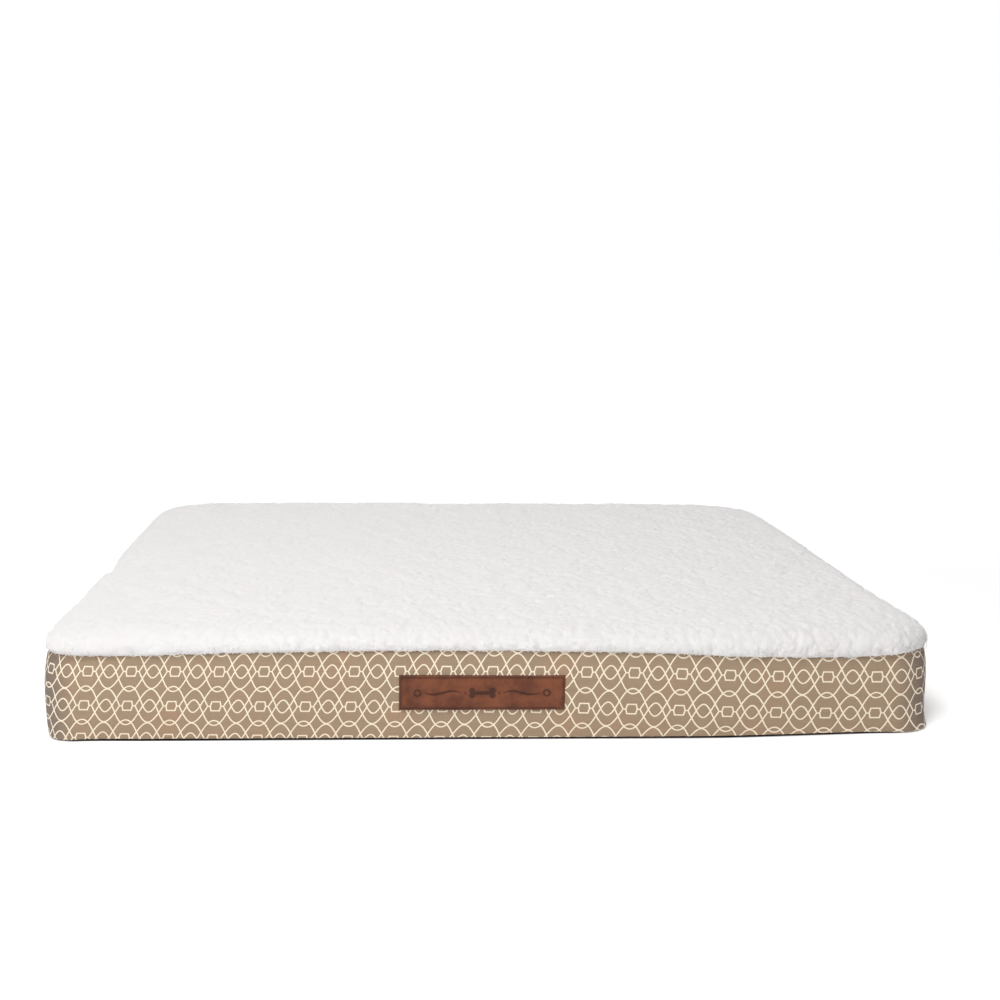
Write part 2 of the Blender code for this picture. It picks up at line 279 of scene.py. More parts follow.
@dataclass(frozen=True)
class Finish:
    """A procedural finish. Its fields are what stays the same all over."""

    name: str
    metallic: float = 0.0
    sheen: float = 0.0
    sheen_roughness: float = 0.5
    subsurface: float = 0.0
    coat: float = 0.0
    specular: float = 0.5

    def paint(self, graph: FinishGraph) -> Coat:
        """Build what varies. Each finish has its own."""
        raise NotImplementedError

    def material(self) -> bpy.types.Material:
        """The finish's material, made the first time that it is asked for."""
        if self.name in MADE:
            return MADE[self.name]
        material = MADE[self.name] = bpy.data.materials.new(self.name)
        material.use_nodes = True
        graph = FinishGraph(material.node_tree)
        shader = material.node_tree.nodes["Principled BSDF"]
        constants = {
            "Metallic": self.metallic,
            "Sheen Weight": self.sheen,
            "Sheen Roughness": self.sheen_roughness,
            "Subsurface Weight": self.subsurface,
            "Subsurface Scale": 0.004,
            "Subsurface Radius": (1.0, 0.95, 0.9),
            "Coat Weight": self.coat,
            "Specular IOR Level": self.specular,
        }
        for socket, constant in constants.items():
            shader.inputs[socket].default_value = constant
        coat = self.paint(graph)
        graph.feed(shader.inputs["Base Color"], coat.colour)
        graph.feed(shader.inputs["Roughness"], coat.roughness)
        bump = graph.value("ShaderNodeBump", {"Strength": 1.0, "Distance": 1.0, "Height": coat.relief})
        graph.feed(shader.inputs["Normal"], bump)
        if coat.glow is not None:
            graph.feed(shader.inputs["Emission Color"], coat.glow)
            shader.inputs["Emission Strength"].default_value = 1.0
        return material


@dataclass(frozen=True)
class SherpaFleece(Finish):
    """Curly off-white pile, with painted shade in its hollows."""

    tip: Colour = (0.900, 0.884, 0.876)
    # Painted shade for the pile's hollows.
    hollow_shade: Colour = (0.720, 0.695, 0.685)
    blush: Colour = (0.900, 0.862, 0.852)
    clump: float = 1.0 / (4.6 * MM)

    def paint(self, graph: FinishGraph) -> Coat:
        """Clumps and curls as relief, with slow warm patches, fine fibres and painted shade where the pile
        is low.
        """
        place = graph.place()
        swirl = graph.value(
            "ShaderNodeTexNoise", {"Vector": place, "Scale": 170.0, "Detail": 1.0}, "Color"
        )
        shift = graph.value("ShaderNodeVectorMath", {0: swirl, "Scale": 4.0 * MM}, operation="SCALE")
        bent = graph.value("ShaderNodeVectorMath", {0: place, 1: shift}, operation="ADD")
        far = graph.cells(bent, self.clump, "SMOOTH_F1")
        clumps = graph.most(1.0 - far * far * 1.3, 0.0)
        strands = graph.noise(bent, 560.0, 1.5, 0.6)
        curls = 1.0 - abs(strands * 2.0 - 1.0) * 2.4
        fibres = graph.noise(place, 2100.0, 1.0, 0.7)
        height = clumps * 0.6 + curls * 0.4 + graph.attribute("pile") * 0.25
        patch = graph.step(graph.noise(place, 24.0, 2.0), 0.45, 0.7)
        colour = graph.mix(patch * 0.6, self.tip, self.blush)
        # Painted shade: the low parts of the pile are darkened as if in shadow.
        colour = graph.mix(graph.step(height, 0.55, 0.05) * 0.8, colour, self.hollow_shade)
        relief = clumps * (0.60 * MM) + curls * (0.34 * MM) + fibres * (0.08 * MM)
        return Coat(graph.tint(colour, 0.985 + fibres * 0.03), relief, 0.97)


@dataclass(frozen=True)
class TrellisPrint:
    """The line print on the wall, measured in the width and height of one repeat."""

    width: float = 48.6 * MM
    height: float = 39.1 * MM
    line: float = 0.74 * MM
    feather: float = 0.20 * MM
    wave_middle: float = 0.2255
    wave_swings: tuple[float, ...] = (0.3809, -0.0310, -0.0024)
    lobe_middle: float = 0.49
    lobe_swing: float = 0.418
    lobe_turn: float = 5.4
    lobe_reach: float = 0.323
    hexagon_half_width: float = 0.119
    hexagon_top_half_width: float = 0.092
    hexagon_half_height: float = 0.133

    def nearest(self, graph: FinishGraph, offset: Value, slope: Value) -> Value:
        """The distance in metres to the nearest vertical repeat of a curve of that slope."""
        apart = abs(offset - graph.maths("ROUND", offset)) * self.height
        real_slope = slope * (self.height / self.width)
        return apart / graph.maths("SQRT", real_slope * real_slope + 1.0)

    def lines(self, graph: FinishGraph, across: Value, down: Value) -> Value:
        """Where the lines are, from 0 to 1.

        Args:
            graph: The tree to add to.
            across: Repeats along the wall, whole at the small hexagons.
            down: Repeats down the wall, whole at the small hexagons.

        Returns:
            The mask of the lines.
        """
        side = abs(across - graph.maths("ROUND", across))
        wave: Number = self.wave_middle
        slope: Number = 0.0
        for times, swing in enumerate(self.wave_swings, start=1):
            turn = side * (math.tau * times)
            wave = graph.maths("COSINE", turn) * swing + wave
            slope = graph.maths("SINE", turn) * (swing * math.tau * times) + slope
        distance = self.nearest(graph, down - wave, slope)
        distance = graph.least(distance, self.nearest(graph, down + wave, slope))

        reach = 0.5 - side
        lobe = self.lobe_middle - (
            1.0 - graph.maths("COSINE", reach * self.lobe_turn)
        ) * self.lobe_swing
        lobe_slope = graph.maths("SINE", reach * self.lobe_turn) * (self.lobe_swing * self.lobe_turn)
        lobes = graph.least(
            self.nearest(graph, down - lobe, lobe_slope), self.nearest(graph, down + lobe, lobe_slope)
        )
        outside = graph.step(reach, self.lobe_reach, self.lobe_reach + 0.002)
        distance = graph.least(distance, lobes + outside)

        level = abs(down - graph.maths("ROUND", down)) * self.height
        x = side * self.width
        arm_end = (0.5 - self.lobe_reach) * self.width
        beyond = graph.most(x - arm_end, self.hexagon_half_width * self.width - x)
        arm = graph.most(level, beyond)
        run = (self.hexagon_half_width - self.hexagon_top_half_width) * self.width
        rise = self.hexagon_half_height * self.height
        length = math.hypot(run, rise)
        slant = ((x - self.hexagon_half_width * self.width) * rise + level * run) / length
        hexagon = abs(graph.most(slant, level - rise))
        distance = graph.least(distance, graph.least(arm, hexagon))
        return 1.0 - graph.step(distance, self.line - self.feather, self.line + self.feather)


def plain_weave(graph: FinishGraph, cloth: Value, threads: float) -> Value:
    """A plain weave's relief, from 0 to 1, with that many threads to the metre."""
    x, y, _ = graph.parts(cloth)
    warp = graph.maths("SINE", x * (math.pi * threads))
    weft = graph.maths("SINE", y * (math.pi * threads))
    over = graph.maths("SINE", (x + y) * (math.pi * threads / 2)) * graph.maths(
        "SINE", (x - y) * (math.pi * threads / 2)
    )
    return abs(warp) * (0.5 + over * 0.5) + abs(weft) * (0.5 - over * 0.5)


@dataclass(frozen=True)
class PrintedCanvas(Finish):
    """Tan canvas with a cream trellis."""

    ground: Colour = (0.403, 0.290, 0.194)
    warm: Colour = (0.450, 0.290, 0.182)
    # Painted shade: the cool dark colour that the canvas is mixed towards round the front corners.
    painted_corner_shade: Colour = (0.150, 0.130, 0.128)
    cream: Colour = (0.990, 0.880, 0.700)
    trellis: TrellisPrint = TrellisPrint()
    threads: float = 1500.0

    def paint(self, graph: FinishGraph) -> Coat:
        """The print over a plain weave, with slubs, slow warm patches and painted shade round the front
        corners.
        """
        across, down, _ = graph.parts(graph.uv("print"))
        cloth = graph.uv("cloth")
        weave = plain_weave(graph, cloth, self.threads)
        slub = graph.noise(graph.stretched(cloth, (45.0, 560.0, 1.0)), 1.0, 2.0)
        slub_down = graph.noise(graph.stretched(cloth, (900.0, 60.0, 1.0)), 1.0, 2.0)
        ground = graph.mix(
            graph.step(graph.noise(cloth, 22.0, 1.0), 0.5, 0.75) * 0.6, self.ground, self.warm
        )
        # Painted shade: the 'turn' number darkens the ground towards slate round the front corners, where
        # the cloth turns out of the light.
        ground = graph.mix(graph.attribute("turn") * 0.75, ground, self.painted_corner_shade)
        ragged = (graph.noise(cloth, 1400.0, 1.0) - 0.5) * 0.035
        lines = self.trellis.lines(graph, across + ragged * 0.25, down + ragged * 0.25)
        colour = graph.mix(lines, ground, self.cream)
        colour = graph.tint(colour, 0.80 + weave * 0.08 + slub * 0.22 + slub_down * 0.07)
        relief = weave * (0.12 * MM) + (slub + slub_down) * (0.06 * MM) + lines * (0.02 * MM)
        return Coat(colour, relief, 0.86 + weave * 0.08)


@dataclass(frozen=True)
class WovenCloth(Finish):
    """A plain woven cloth in one colour, such as the base and the zip's tapes."""

    colour: Colour = (0.03, 0.03, 0.033)
    threads: float = 1100.0
    depth: float = 0.14 * MM

    def paint(self, graph: FinishGraph) -> Coat:
        """Threads, slubs and a little dust."""
        cloth = graph.uv("cloth")
        weave = plain_weave(graph, cloth, self.threads)
        slub = graph.noise(graph.stretched(cloth, (70.0, 800.0, 1.0)), 1.0, 2.0)
        dust = graph.noise(cloth, 35.0, 3.0)
        colour = graph.tint(self.colour, 0.55 + weave * 0.45 + slub * 0.25 + dust * 0.25)
        return Coat(colour, weave * self.depth + slub * (0.4 * self.depth), 0.84 + dust * 0.12)


@dataclass(frozen=True)
class Foam(Finish):
    """Open-cell foam."""

    colour: Colour = (0.78, 0.70, 0.46)
    cells: float = 900.0

    def paint(self, graph: FinishGraph) -> Coat:
        """Small open cells, and a slow change of tone."""
        place = graph.place()
        pore = graph.step(graph.cells(place, self.cells), 0.15, 0.6)
        tone = graph.noise(place, 18.0, 2.0)
        return Coat(graph.tint(self.colour, 0.80 + pore * 0.14 + tone * 0.12), pore * (0.4 * MM), 0.93)


@dataclass(frozen=True)
class Leather(Finish):
    """Oiled brown leather, darker at its cut edges and where it is pressed."""

    light: Colour = (0.250, 0.080, 0.036)
    dark: Colour = (0.135, 0.042, 0.021)
    burnt: Colour = (0.035, 0.013, 0.009)

    def paint(self, graph: FinishGraph) -> Coat:
        """Grain, pores, pull-up patches and burnished edges."""
        place = graph.place()
        grain = graph.cells(place, 1150.0, "DISTANCE_TO_EDGE")
        creases = graph.step(grain, 0.0, 0.16)
        pores = graph.step(graph.cells(place, 2300.0), 0.10, 0.30)
        mottle = graph.noise(place, 70.0, 4.0, 0.62)
        cloud = graph.noise(place, 22.0, 2.0)
        colour = graph.mix(graph.step(mottle * 0.6 + cloud * 0.4, 0.36, 0.62), self.dark, self.light)
        edge = graph.attribute("edge")
        pressed = graph.attribute("pressed")
        colour = graph.mix(edge * 0.6, colour, self.burnt)
        colour = graph.mix(pressed * 0.75, colour, self.burnt)
        colour = graph.tint(colour, 0.86 + creases * 0.12 + pores * 0.06)
        rough = 0.56 + mottle * 0.16 - pressed * 0.08
        return Coat(colour, creases * (0.10 * MM) + pores * (0.03 * MM), rough)


@dataclass(frozen=True)
class Thread(Finish):
    """Twisted sewing thread."""

    colour: Colour = (0.42, 0.31, 0.22)

    def paint(self, graph: FinishGraph) -> Coat:
        """The twist of the plies as slanted ribs."""
        x, y, z = graph.parts(graph.place())
        ply = graph.maths("SINE", (x + y * 0.7 + z * 1.3) * (math.tau * 1900.0))
        lint = graph.noise(graph.place(), 2600.0, 2.0)
        return Coat(
            graph.tint(self.colour, 0.82 + ply * 0.12 + lint * 0.25),
            ply * (0.03 * MM),
            0.62 + lint * 0.2,
        )


@dataclass(frozen=True)
class Satin(Finish):
    """Woven satin ribbon."""

    colour: Colour = (0.86, 0.85, 0.81)

    def paint(self, graph: FinishGraph) -> Coat:
        """Fine ribs across the ribbon."""
        _, _, z = graph.parts(graph.place())
        rib = graph.maths("SINE", z * (math.tau * 2600.0))
        soil = graph.noise(graph.place(), 60.0, 3.0)
        return Coat(
            graph.tint(self.colour, 0.90 + rib * 0.03 + soil * 0.10),
            rib * (0.03 * MM),
            0.42 + soil * 0.18,
        )


@dataclass(frozen=True)
class Nylon(Finish):
    """The zip's coil: drawn nylon, faintly glossy."""

    colour: Colour = (0.20, 0.135, 0.085)

    def paint(self, graph: FinishGraph) -> Coat:
        """A little unevenness of the dye and of the draw."""
        place = graph.place()
        dye = graph.noise(place, 240.0, 2.0)
        draw = graph.noise(place, 3000.0, 2.0)
        return Coat(graph.tint(self.colour, 0.80 + dye * 0.4), draw * (0.02 * MM), 0.34 + dye * 0.14)


@dataclass(frozen=True)
class AntiqueBrass(Finish):
    """Tumbled antique brass, tarnished dark in patches."""

    bright: Colour = (0.50, 0.38, 0.22)
    dark: Colour = (0.16, 0.115, 0.07)

    def paint(self, graph: FinishGraph) -> Coat:
        """Tarnish in patches, fine scratches and casting grain."""
        place = graph.place()
        tarnish = graph.step(graph.noise(place, 420.0, 4.0, 0.65), 0.40, 0.66)
        scratch = graph.noise(graph.stretched(place, (500.0, 4200.0, 4200.0)), 1.0, 2.0)
        colour = graph.mix(tarnish * 0.75, self.bright, self.dark)
        colour = graph.tint(colour, 0.86 + scratch * 0.28)
        return Coat(colour, scratch * (0.012 * MM), 0.26 + tarnish * 0.26 + scratch * 0.08)


@dataclass(frozen=True)
class StudioPaper(Finish):
    """The pale sweep under the object."""

    near: float = 0.27
    far: float = 1.0

    def paint(self, graph: FinishGraph) -> Coat:
        """Even white paper, which glows more where the lamps don't reach."""
        place = graph.place()
        speck = graph.noise(place, 300.0, 2.0)
        away = graph.value("ShaderNodeVectorMath", {0: place}, "Value", operation="LENGTH")
        glow = graph.tint(
            (1.0, 1.0, 1.0), graph.step(away, 0.7, 2.6) * (self.far - self.near) + self.near
        )
        return Coat(
            graph.tint((0.93, 0.93, 0.93), 0.995 + speck * 0.01), speck * (0.01 * MM), 0.8, glow
        )


FLEECE = SherpaFleece("curly_fleece", sheen=0.25, sheen_roughness=0.6, subsurface=0.22, specular=0.15)
CANVAS = PrintedCanvas("printed_canvas", sheen=0.06, specular=0.2)
BASE_CLOTH = WovenCloth("charcoal_base_cloth", sheen=0.1, specular=0.25)
ZIP_TAPE = WovenCloth("zip_tape_weave", colour=(0.30, 0.215, 0.145), threads=1700.0, depth=0.10 * MM)
CRATE_FOAM = Foam("cream_foam", subsurface=0.1, specular=0.2)
SUPPORT_FOAM = Foam("grey_foam", subsurface=0.1, specular=0.2, colour=(0.56, 0.60, 0.64), cells=1100.0)
LEATHER = Leather("brown_leather", specular=0.3)
DARK_THREAD = Thread("brown_stitching", colour=(0.030, 0.018, 0.013), sheen=0.1)
TAN_THREAD = Thread("tan_stitching", colour=(0.50, 0.37, 0.25), sheen=0.1)
SATIN = Satin("white_satin", sheen=0.2)
NYLON = Nylon("zip_nylon")
BRASS = AntiqueBrass("antique_brass", metallic=1.0)
PAPER = StudioPaper("studio_paper", specular=0.1)


# ---- Meshes ------------------------------------------------------------------------------------


def link_mesh(
    name: str, points: np.ndarray, faces: Sequence[Sequence[int]] | np.ndarray, finish: Finish
) -> bpy.types.Object:
    """Make a smooth-shaded mesh object at the origin."""
    mesh = bpy.data.meshes.new(name)
    mesh.from_pydata(
        np.asarray(points, dtype=float).tolist(),
        [],
        faces.tolist() if isinstance(faces, np.ndarray) else faces,
    )
    mesh.update()
    mesh.shade_smooth()
    mesh.materials.append(finish.material())
    piece = bpy.data.objects.new(name, mesh)
    bpy.context.scene.collection.objects.link(piece)
    return piece


def grid_edge(rows: int, columns: int) -> np.ndarray:
    """The points round the edge of a grid, in order."""
    index = np.arange(rows * columns).reshape(rows, columns)
    return np.concatenate([index[0, :-1], index[:-1, -1], index[-1, :0:-1], index[:0:-1, 0]])


def grid_faces(rows: int, columns: int, first: int = 0, wrap: bool = False) -> np.ndarray:
    """Quads over a grid of points stored row by row, optionally closed along each row."""
    down = np.arange(rows - 1)[:, None]
    along = np.arange(columns if wrap else columns - 1)[None, :]
    beside = (along + 1) % columns
    corners = (
        down * columns + along,
        down * columns + beside,
        (down + 1) * columns + beside,
        (down + 1) * columns + along,
    )
    return np.stack([corner.ravel() for corner in corners], axis=1) + first


def add_uv(piece: bpy.types.Object, name: str, per_point: np.ndarray) -> None:
    """Give a mesh a UV map from one pair of numbers for each point."""
    mesh = piece.data
    layer = mesh.uv_layers.new(name=name)
    corner = np.empty(len(mesh.loops), dtype=np.int64)
    mesh.loops.foreach_get("vertex_index", corner)
    layer.data.foreach_set("uv", per_point[corner].astype(np.float32).ravel())


def add_number(piece: bpy.types.Object, name: str, per_point: np.ndarray) -> None:
    """Store a number for each point of a mesh, for a finish or a rule to read."""
    attribute = piece.data.attributes.new(name, "FLOAT", "POINT")
    attribute.data.foreach_set("value", per_point.astype(np.float32).ravel())


def place_piece(piece: bpy.types.Object, body: Body, slot: str, *nodes: str) -> bpy.types.Object:
    """Hand a finished piece to the frame: attach it to its body and hide the nodes that it stands for."""
    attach(piece, body.value)
    if nodes:
        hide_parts(*nodes)
    LOG.info("%s: %d faces on %s", piece.name, len(piece.data.polygons), body.value)
    return piece


def thicken(piece: bpy.types.Object, thickness: float) -> None:
    """Give an open cloth its thickness inwards, as real geometry."""
    solid = piece.modifiers.new("thickness", "SOLIDIFY")
    solid.thickness = thickness
    solid.offset = -1.0
    solid.use_even_offset = True
    bake_modifiers(piece)


def bake_modifiers(piece: bpy.types.Object) -> None:
    """Replace a piece's mesh by what its modifiers make of it."""
    graph = bpy.context.evaluated_depsgraph_get()
    old = piece.data
    piece.data = bpy.data.meshes.new_from_object(
        piece.evaluated_get(graph), preserve_all_data_layers=True, depsgraph=graph
    )
    piece.data.name = piece.name
    piece.modifiers.clear()
    bpy.data.meshes.remove(old)


def smooth_noise(points: np.ndarray, size: float, seed: float) -> np.ndarray:
    """Noise from -1 to 1 at each point, with features of that size."""
    shifted = points / size + seed
    return np.array([noise.noise(Vector(point)) for point in shifted])


# ---- Geometry Nodes rules ----------------------------------------------------------------------


class GeometryRule(Graph):
    """One Geometry Nodes tree with named inputs, which makes plain meshes."""

    KINDS = {float: "NodeSocketFloat", int: "NodeSocketInt", tuple: "NodeSocketVector"}

    def __init__(self, name: str, **sizes: float | int | tuple[float, float, float]) -> None:
        """Make the tree and its named inputs.

        Args:
            name: The tree's name.
            sizes: Each input's name and default value.
        """
        super().__init__(bpy.data.node_groups.new(name, "GeometryNodeTree"))
        face = self.tree.interface
        face.new_socket("Geometry", in_out="INPUT", socket_type="NodeSocketGeometry")
        face.new_socket("Finish", in_out="INPUT", socket_type="NodeSocketMaterial")
        for label, default in sizes.items():
            face.new_socket(
                label, in_out="INPUT", socket_type=self.KINDS[type(default)]
            ).default_value = default
        face.new_socket("Geometry", in_out="OUTPUT", socket_type="NodeSocketGeometry")
        self.entry = self.tree.nodes.new("NodeGroupInput")
        self.exit = self.tree.nodes.new("NodeGroupOutput")

    def size(self, name: str) -> Value:
        """One of the tree's named inputs."""
        return Value(self, self.entry.outputs[name])

    def close(self, geometry: Value) -> None:
        """End the tree: instances made real, and the finish put on them."""
        real = self.value("GeometryNodeRealizeInstances", {0: geometry})
        smooth = self.value("GeometryNodeSetShadeSmooth", {"Geometry": real})
        dressed = self.value(
            "GeometryNodeSetMaterial", {"Geometry": smooth, "Material": self.size("Finish")}
        )
        self.feed(self.exit.inputs[0], dressed)

    def make(
        self,
        name: str,
        host: bpy.types.Object,
        finish: Finish,
        keep_host: bool = False,
        **sizes: object,
    ) -> bpy.types.Object:
        """Run the rule on a host mesh.

        Args:
            name: The new piece's name.
            host: The mesh that the rule works on.
            finish: What the new piece is dressed in.
            keep_host: Whether the host stays in the scene afterwards.
            sizes: Values for the tree's named inputs.

        Returns:
            A new object at the origin with a plain mesh.
        """
        rule = host.modifiers.new(self.tree.name, "NODES")
        rule.node_group = self.tree
        given = {"Finish": finish.material(), **sizes}
        for socket in self.tree.interface.items_tree:
            if socket.in_out == "INPUT" and socket.name in given:
                rule[socket.identifier] = given[socket.name]
        graph = bpy.context.evaluated_depsgraph_get()
        mesh = bpy.data.meshes.new_from_object(
            host.evaluated_get(graph), preserve_all_data_layers=True, depsgraph=graph
        )
        host.modifiers.remove(rule)
        if not keep_host:
            bpy.data.objects.remove(host, do_unlink=True)
        mesh.name = name
        mesh.materials.clear()
        mesh.materials.append(finish.material())
        piece = bpy.data.objects.new(name, mesh)
        bpy.context.scene.collection.objects.link(piece)
        return piece


def pile_rule() -> GeometryRule:
    """Raise a skin into the lumps and curls of a sherpa pile, and store how high each point is."""
    rule = GeometryRule("pile_lumps", Lump=8.5 * MM, Rise=1.9 * MM, Curl=1.1 * MM)
    where = rule.value("GeometryNodeInputPosition")
    shape = rule.entry.outputs["Geometry"]
    wander = rule.value("ShaderNodeTexNoise", {"Vector": where, "Scale": 90.0, "Detail": 1.0}, "Color")
    shift = rule.value("ShaderNodeVectorMath", {0: wander, "Scale": 0.006}, operation="SCALE")
    bent = rule.value("ShaderNodeVectorMath", {0: where, 1: shift}, operation="ADD")
    per_metre = 1.0 / rule.size("Lump")
    cell_feeds = {"Vector": bent, "Scale": per_metre, "Smoothness": 0.35}
    far = rule.value("ShaderNodeTexVoronoi", cell_feeds, feature="SMOOTH_F1")
    lump = rule.maths("MAXIMUM", 1.0 - far * far * 1.6, 0.0)
    strands = rule.value(
        "ShaderNodeTexNoise", {"Vector": bent, "Scale": 330.0, "Detail": 1.5, "Roughness": 0.6}
    )
    curl = 1.0 - abs(strands * 2.0 - 1.0) * 2.2
    broad = rule.value("ShaderNodeTexNoise", {"Vector": where, "Scale": 26.0, "Detail": 2.0})
    raised = rule.value("GeometryNodeInputNamedAttribute", {"Name": "lift"}, data_type="FLOAT")
    height = (lump * (0.55 + broad * 0.9) * rule.size("Rise") + curl * rule.size("Curl")) * raised
    normal = rule.value("GeometryNodeInputNormal")
    offset = rule.value("ShaderNodeVectorMath", {0: normal, "Scale": height}, operation="SCALE")
    level = lump * 0.7 + curl * 0.3
    feeds = {"Geometry": shape, "Name": "pile", "Value": level}
    stored = rule.value("GeometryNodeStoreNamedAttribute", feeds, data_type="FLOAT", domain="POINT")
    moved = rule.value("GeometryNodeSetPosition", {"Geometry": stored, "Offset": offset})
    rule.close(moved)
    return rule


def lock_rule() -> GeometryRule:
    """Scatter small curled locks of wool over a skin."""
    rule = GeometryRule("wool_locks", Density=190000.0, Seed=31, Length=0.75, Lean=0.6)
    chosen = rule.value("GeometryNodeInputNamedAttribute", {"Name": "locks"}, data_type="FLOAT")
    feeds = {
        "Mesh": rule.entry.outputs["Geometry"],
        "Density": rule.size("Density") * chosen,
        "Seed": rule.size("Seed"),
    }
    scatter = rule.node("GeometryNodeDistributePointsOnFaces", feeds, distribute_method="RANDOM")

    arc_feeds = {"Resolution": 5, "Radius": 1.5 * MM, "Start Angle": 0.4, "Sweep Angle": 3.4}
    arc = rule.value("GeometryNodeCurveArc", arc_feeds, mode="RADIUS")
    upright_feeds = {
        "Geometry": arc, "Rotation": (math.pi / 2, 0.0, 0.0), "Translation": (0.0, 0.0, -0.2 * MM)
    }
    upright = rule.value("GeometryNodeTransform", upright_feeds)
    along = rule.value("GeometryNodeSplineParameter")
    slim = 1.0 - along * 0.55
    tapered = rule.value("GeometryNodeSetCurveRadius", {"Curve": upright, "Radius": slim})
    section = rule.value(
        "GeometryNodeCurvePrimitiveCircle", {"Resolution": 4, "Radius": 0.75 * MM}, mode="RADIUS"
    )
    mesh_feeds = {"Curve": tapered, "Profile Curve": section, "Fill Caps": True}
    lock_node = rule.node("GeometryNodeCurveToMesh", mesh_feeds)
    if "Scale" in lock_node.inputs:
        rule.feed(lock_node.inputs["Scale"], slim)
    lock = Value(rule, lock_node.outputs[0])

    lean = rule.size("Lean")
    low = rule.join(-lean, -lean, 0.0)
    high = rule.join(lean, lean, math.tau)
    turn = rule.value(
        "FunctionNodeRandomValue",
        {0: low, 1: high, "Seed": rule.size("Seed") + 7},
        0,
        data_type="FLOAT_VECTOR",
    )
    turn = rule.value("FunctionNodeEulerToRotation", {0: turn})
    facing = Value(rule, scatter.outputs["Rotation"])
    facing = rule.value("FunctionNodeRotateRotation", {0: facing, 1: turn}, rotation_space="LOCAL")
    grown_feeds = {0: (0.65, 0.65, 0.5), 1: (1.25, 1.25, 1.15), "Seed": rule.size("Seed") + 3}
    grown = rule.value("FunctionNodeRandomValue", grown_feeds, 0, data_type="FLOAT_VECTOR")
    grown = rule.value(
        "ShaderNodeVectorMath", {0: grown, "Scale": rule.size("Length")}, operation="SCALE"
    )
    placed_feeds = {
        "Points": Value(rule, scatter.outputs["Points"]),
        "Instance": lock,
        "Rotation": facing,
        "Scale": grown,
    }
    rule.close(rule.value("GeometryNodeInstanceOnPoints", placed_feeds))
    return rule


def stitch_rule() -> GeometryRule:
    """Lay a row of short, slightly arched stitches along an edge path."""
    rule = GeometryRule(
        "stitch_row", Pitch=2.8 * MM, Length=1.9 * MM, Radius=0.26 * MM, Outward=(0.0, -1.0, 0.0)
    )
    path = rule.value("GeometryNodeMeshToCurve", {0: rule.entry.outputs["Geometry"]})
    spaced = rule.value(
        "GeometryNodeResampleCurve", {"Curve": path, "Length": rule.size("Pitch")}, mode="LENGTH"
    )
    half = rule.size("Length") / 2
    radius = rule.size("Radius")
    bend = {
        "Resolution": 4,
        "Start": rule.join(-half, 0.0, -radius),
        "Middle": rule.join(0.0, 0.0, radius * 1.8),
        "End": rule.join(half, 0.0, -radius),
    }
    arch = rule.value("GeometryNodeCurveQuadraticBezier", bend)
    section = rule.value(
        "GeometryNodeCurvePrimitiveCircle", {"Resolution": 6, "Radius": radius}, mode="RADIUS"
    )
    stitch = rule.value(
        "GeometryNodeCurveToMesh", {"Curve": arch, "Profile Curve": section, "Fill Caps": True}
    )
    tangent = rule.value("GeometryNodeInputTangent")
    along = rule.value("FunctionNodeAlignRotationToVector", {"Vector": tangent}, axis="X")
    facing = {"Rotation": along, "Vector": rule.size("Outward")}
    turned = rule.value("FunctionNodeAlignRotationToVector", facing, axis="Z", pivot_axis="X")
    placed = {"Points": spaced, "Instance": stitch, "Rotation": turned}
    rule.close(rule.value("GeometryNodeInstanceOnPoints", placed))
    return rule


def coil_rule() -> GeometryRule:
    """Wind one side of the zip's chain: a flattened coil along X."""
    rule = GeometryRule(
        "zip_coil",
        Turns=600.0,
        Run=0.8,
        Deep=0.8 * MM,
        Wide=1.2 * MM,
        Wire=0.3 * MM,
        Start=(0.0, 0.0, 0.0),
    )
    feeds = {
        "Resolution": 8,
        "Rotations": rule.size("Turns"),
        "Start Radius": 1.0,
        "End Radius": 1.0,
        "Height": rule.size("Run"),
    }
    spiral = rule.value("GeometryNodeCurveSpiral", feeds)
    oval = rule.join(rule.size("Wide"), rule.size("Deep"), 1.0)
    flat = rule.value("GeometryNodeTransform", {"Geometry": spiral, "Scale": oval})
    laid_feeds = {
        "Geometry": flat, "Rotation": (0.0, math.pi / 2, 0.0), "Translation": rule.size("Start")
    }
    laid = rule.value("GeometryNodeTransform", laid_feeds)
    section = rule.value(
        "GeometryNodeCurvePrimitiveCircle",
        {"Resolution": 5, "Radius": rule.size("Wire")},
        mode="RADIUS",
    )
    rule.close(
        rule.value(
            "GeometryNodeCurveToMesh", {"Curve": laid, "Profile Curve": section, "Fill Caps": True}
        ),
    )
    return rule


# ---- The shape that the cover's pieces share ---------------------------------------------------


class Corner(NamedTuple):
    """One vertical corner: its side, radius, foot tuck, how square its foot is and its ear."""

    side_x: int
    side_y: int
    radius: float
    tuck: float
    square: float
    ear: float


class Swell(NamedTuple):
    """A smooth hill along the front: where its top is, how far it reaches and how high it is."""

    x: float
    reach: float
    height: float

    def at(self, x: np.ndarray) -> np.ndarray:
        """The hill's height at each x."""
        return self.height * np.exp(-(((x - self.x) / self.reach) ** 2))


# How far a round corner's middle lies inside its square corner, as a share of its radius.
CORNER_INSET = 0.293


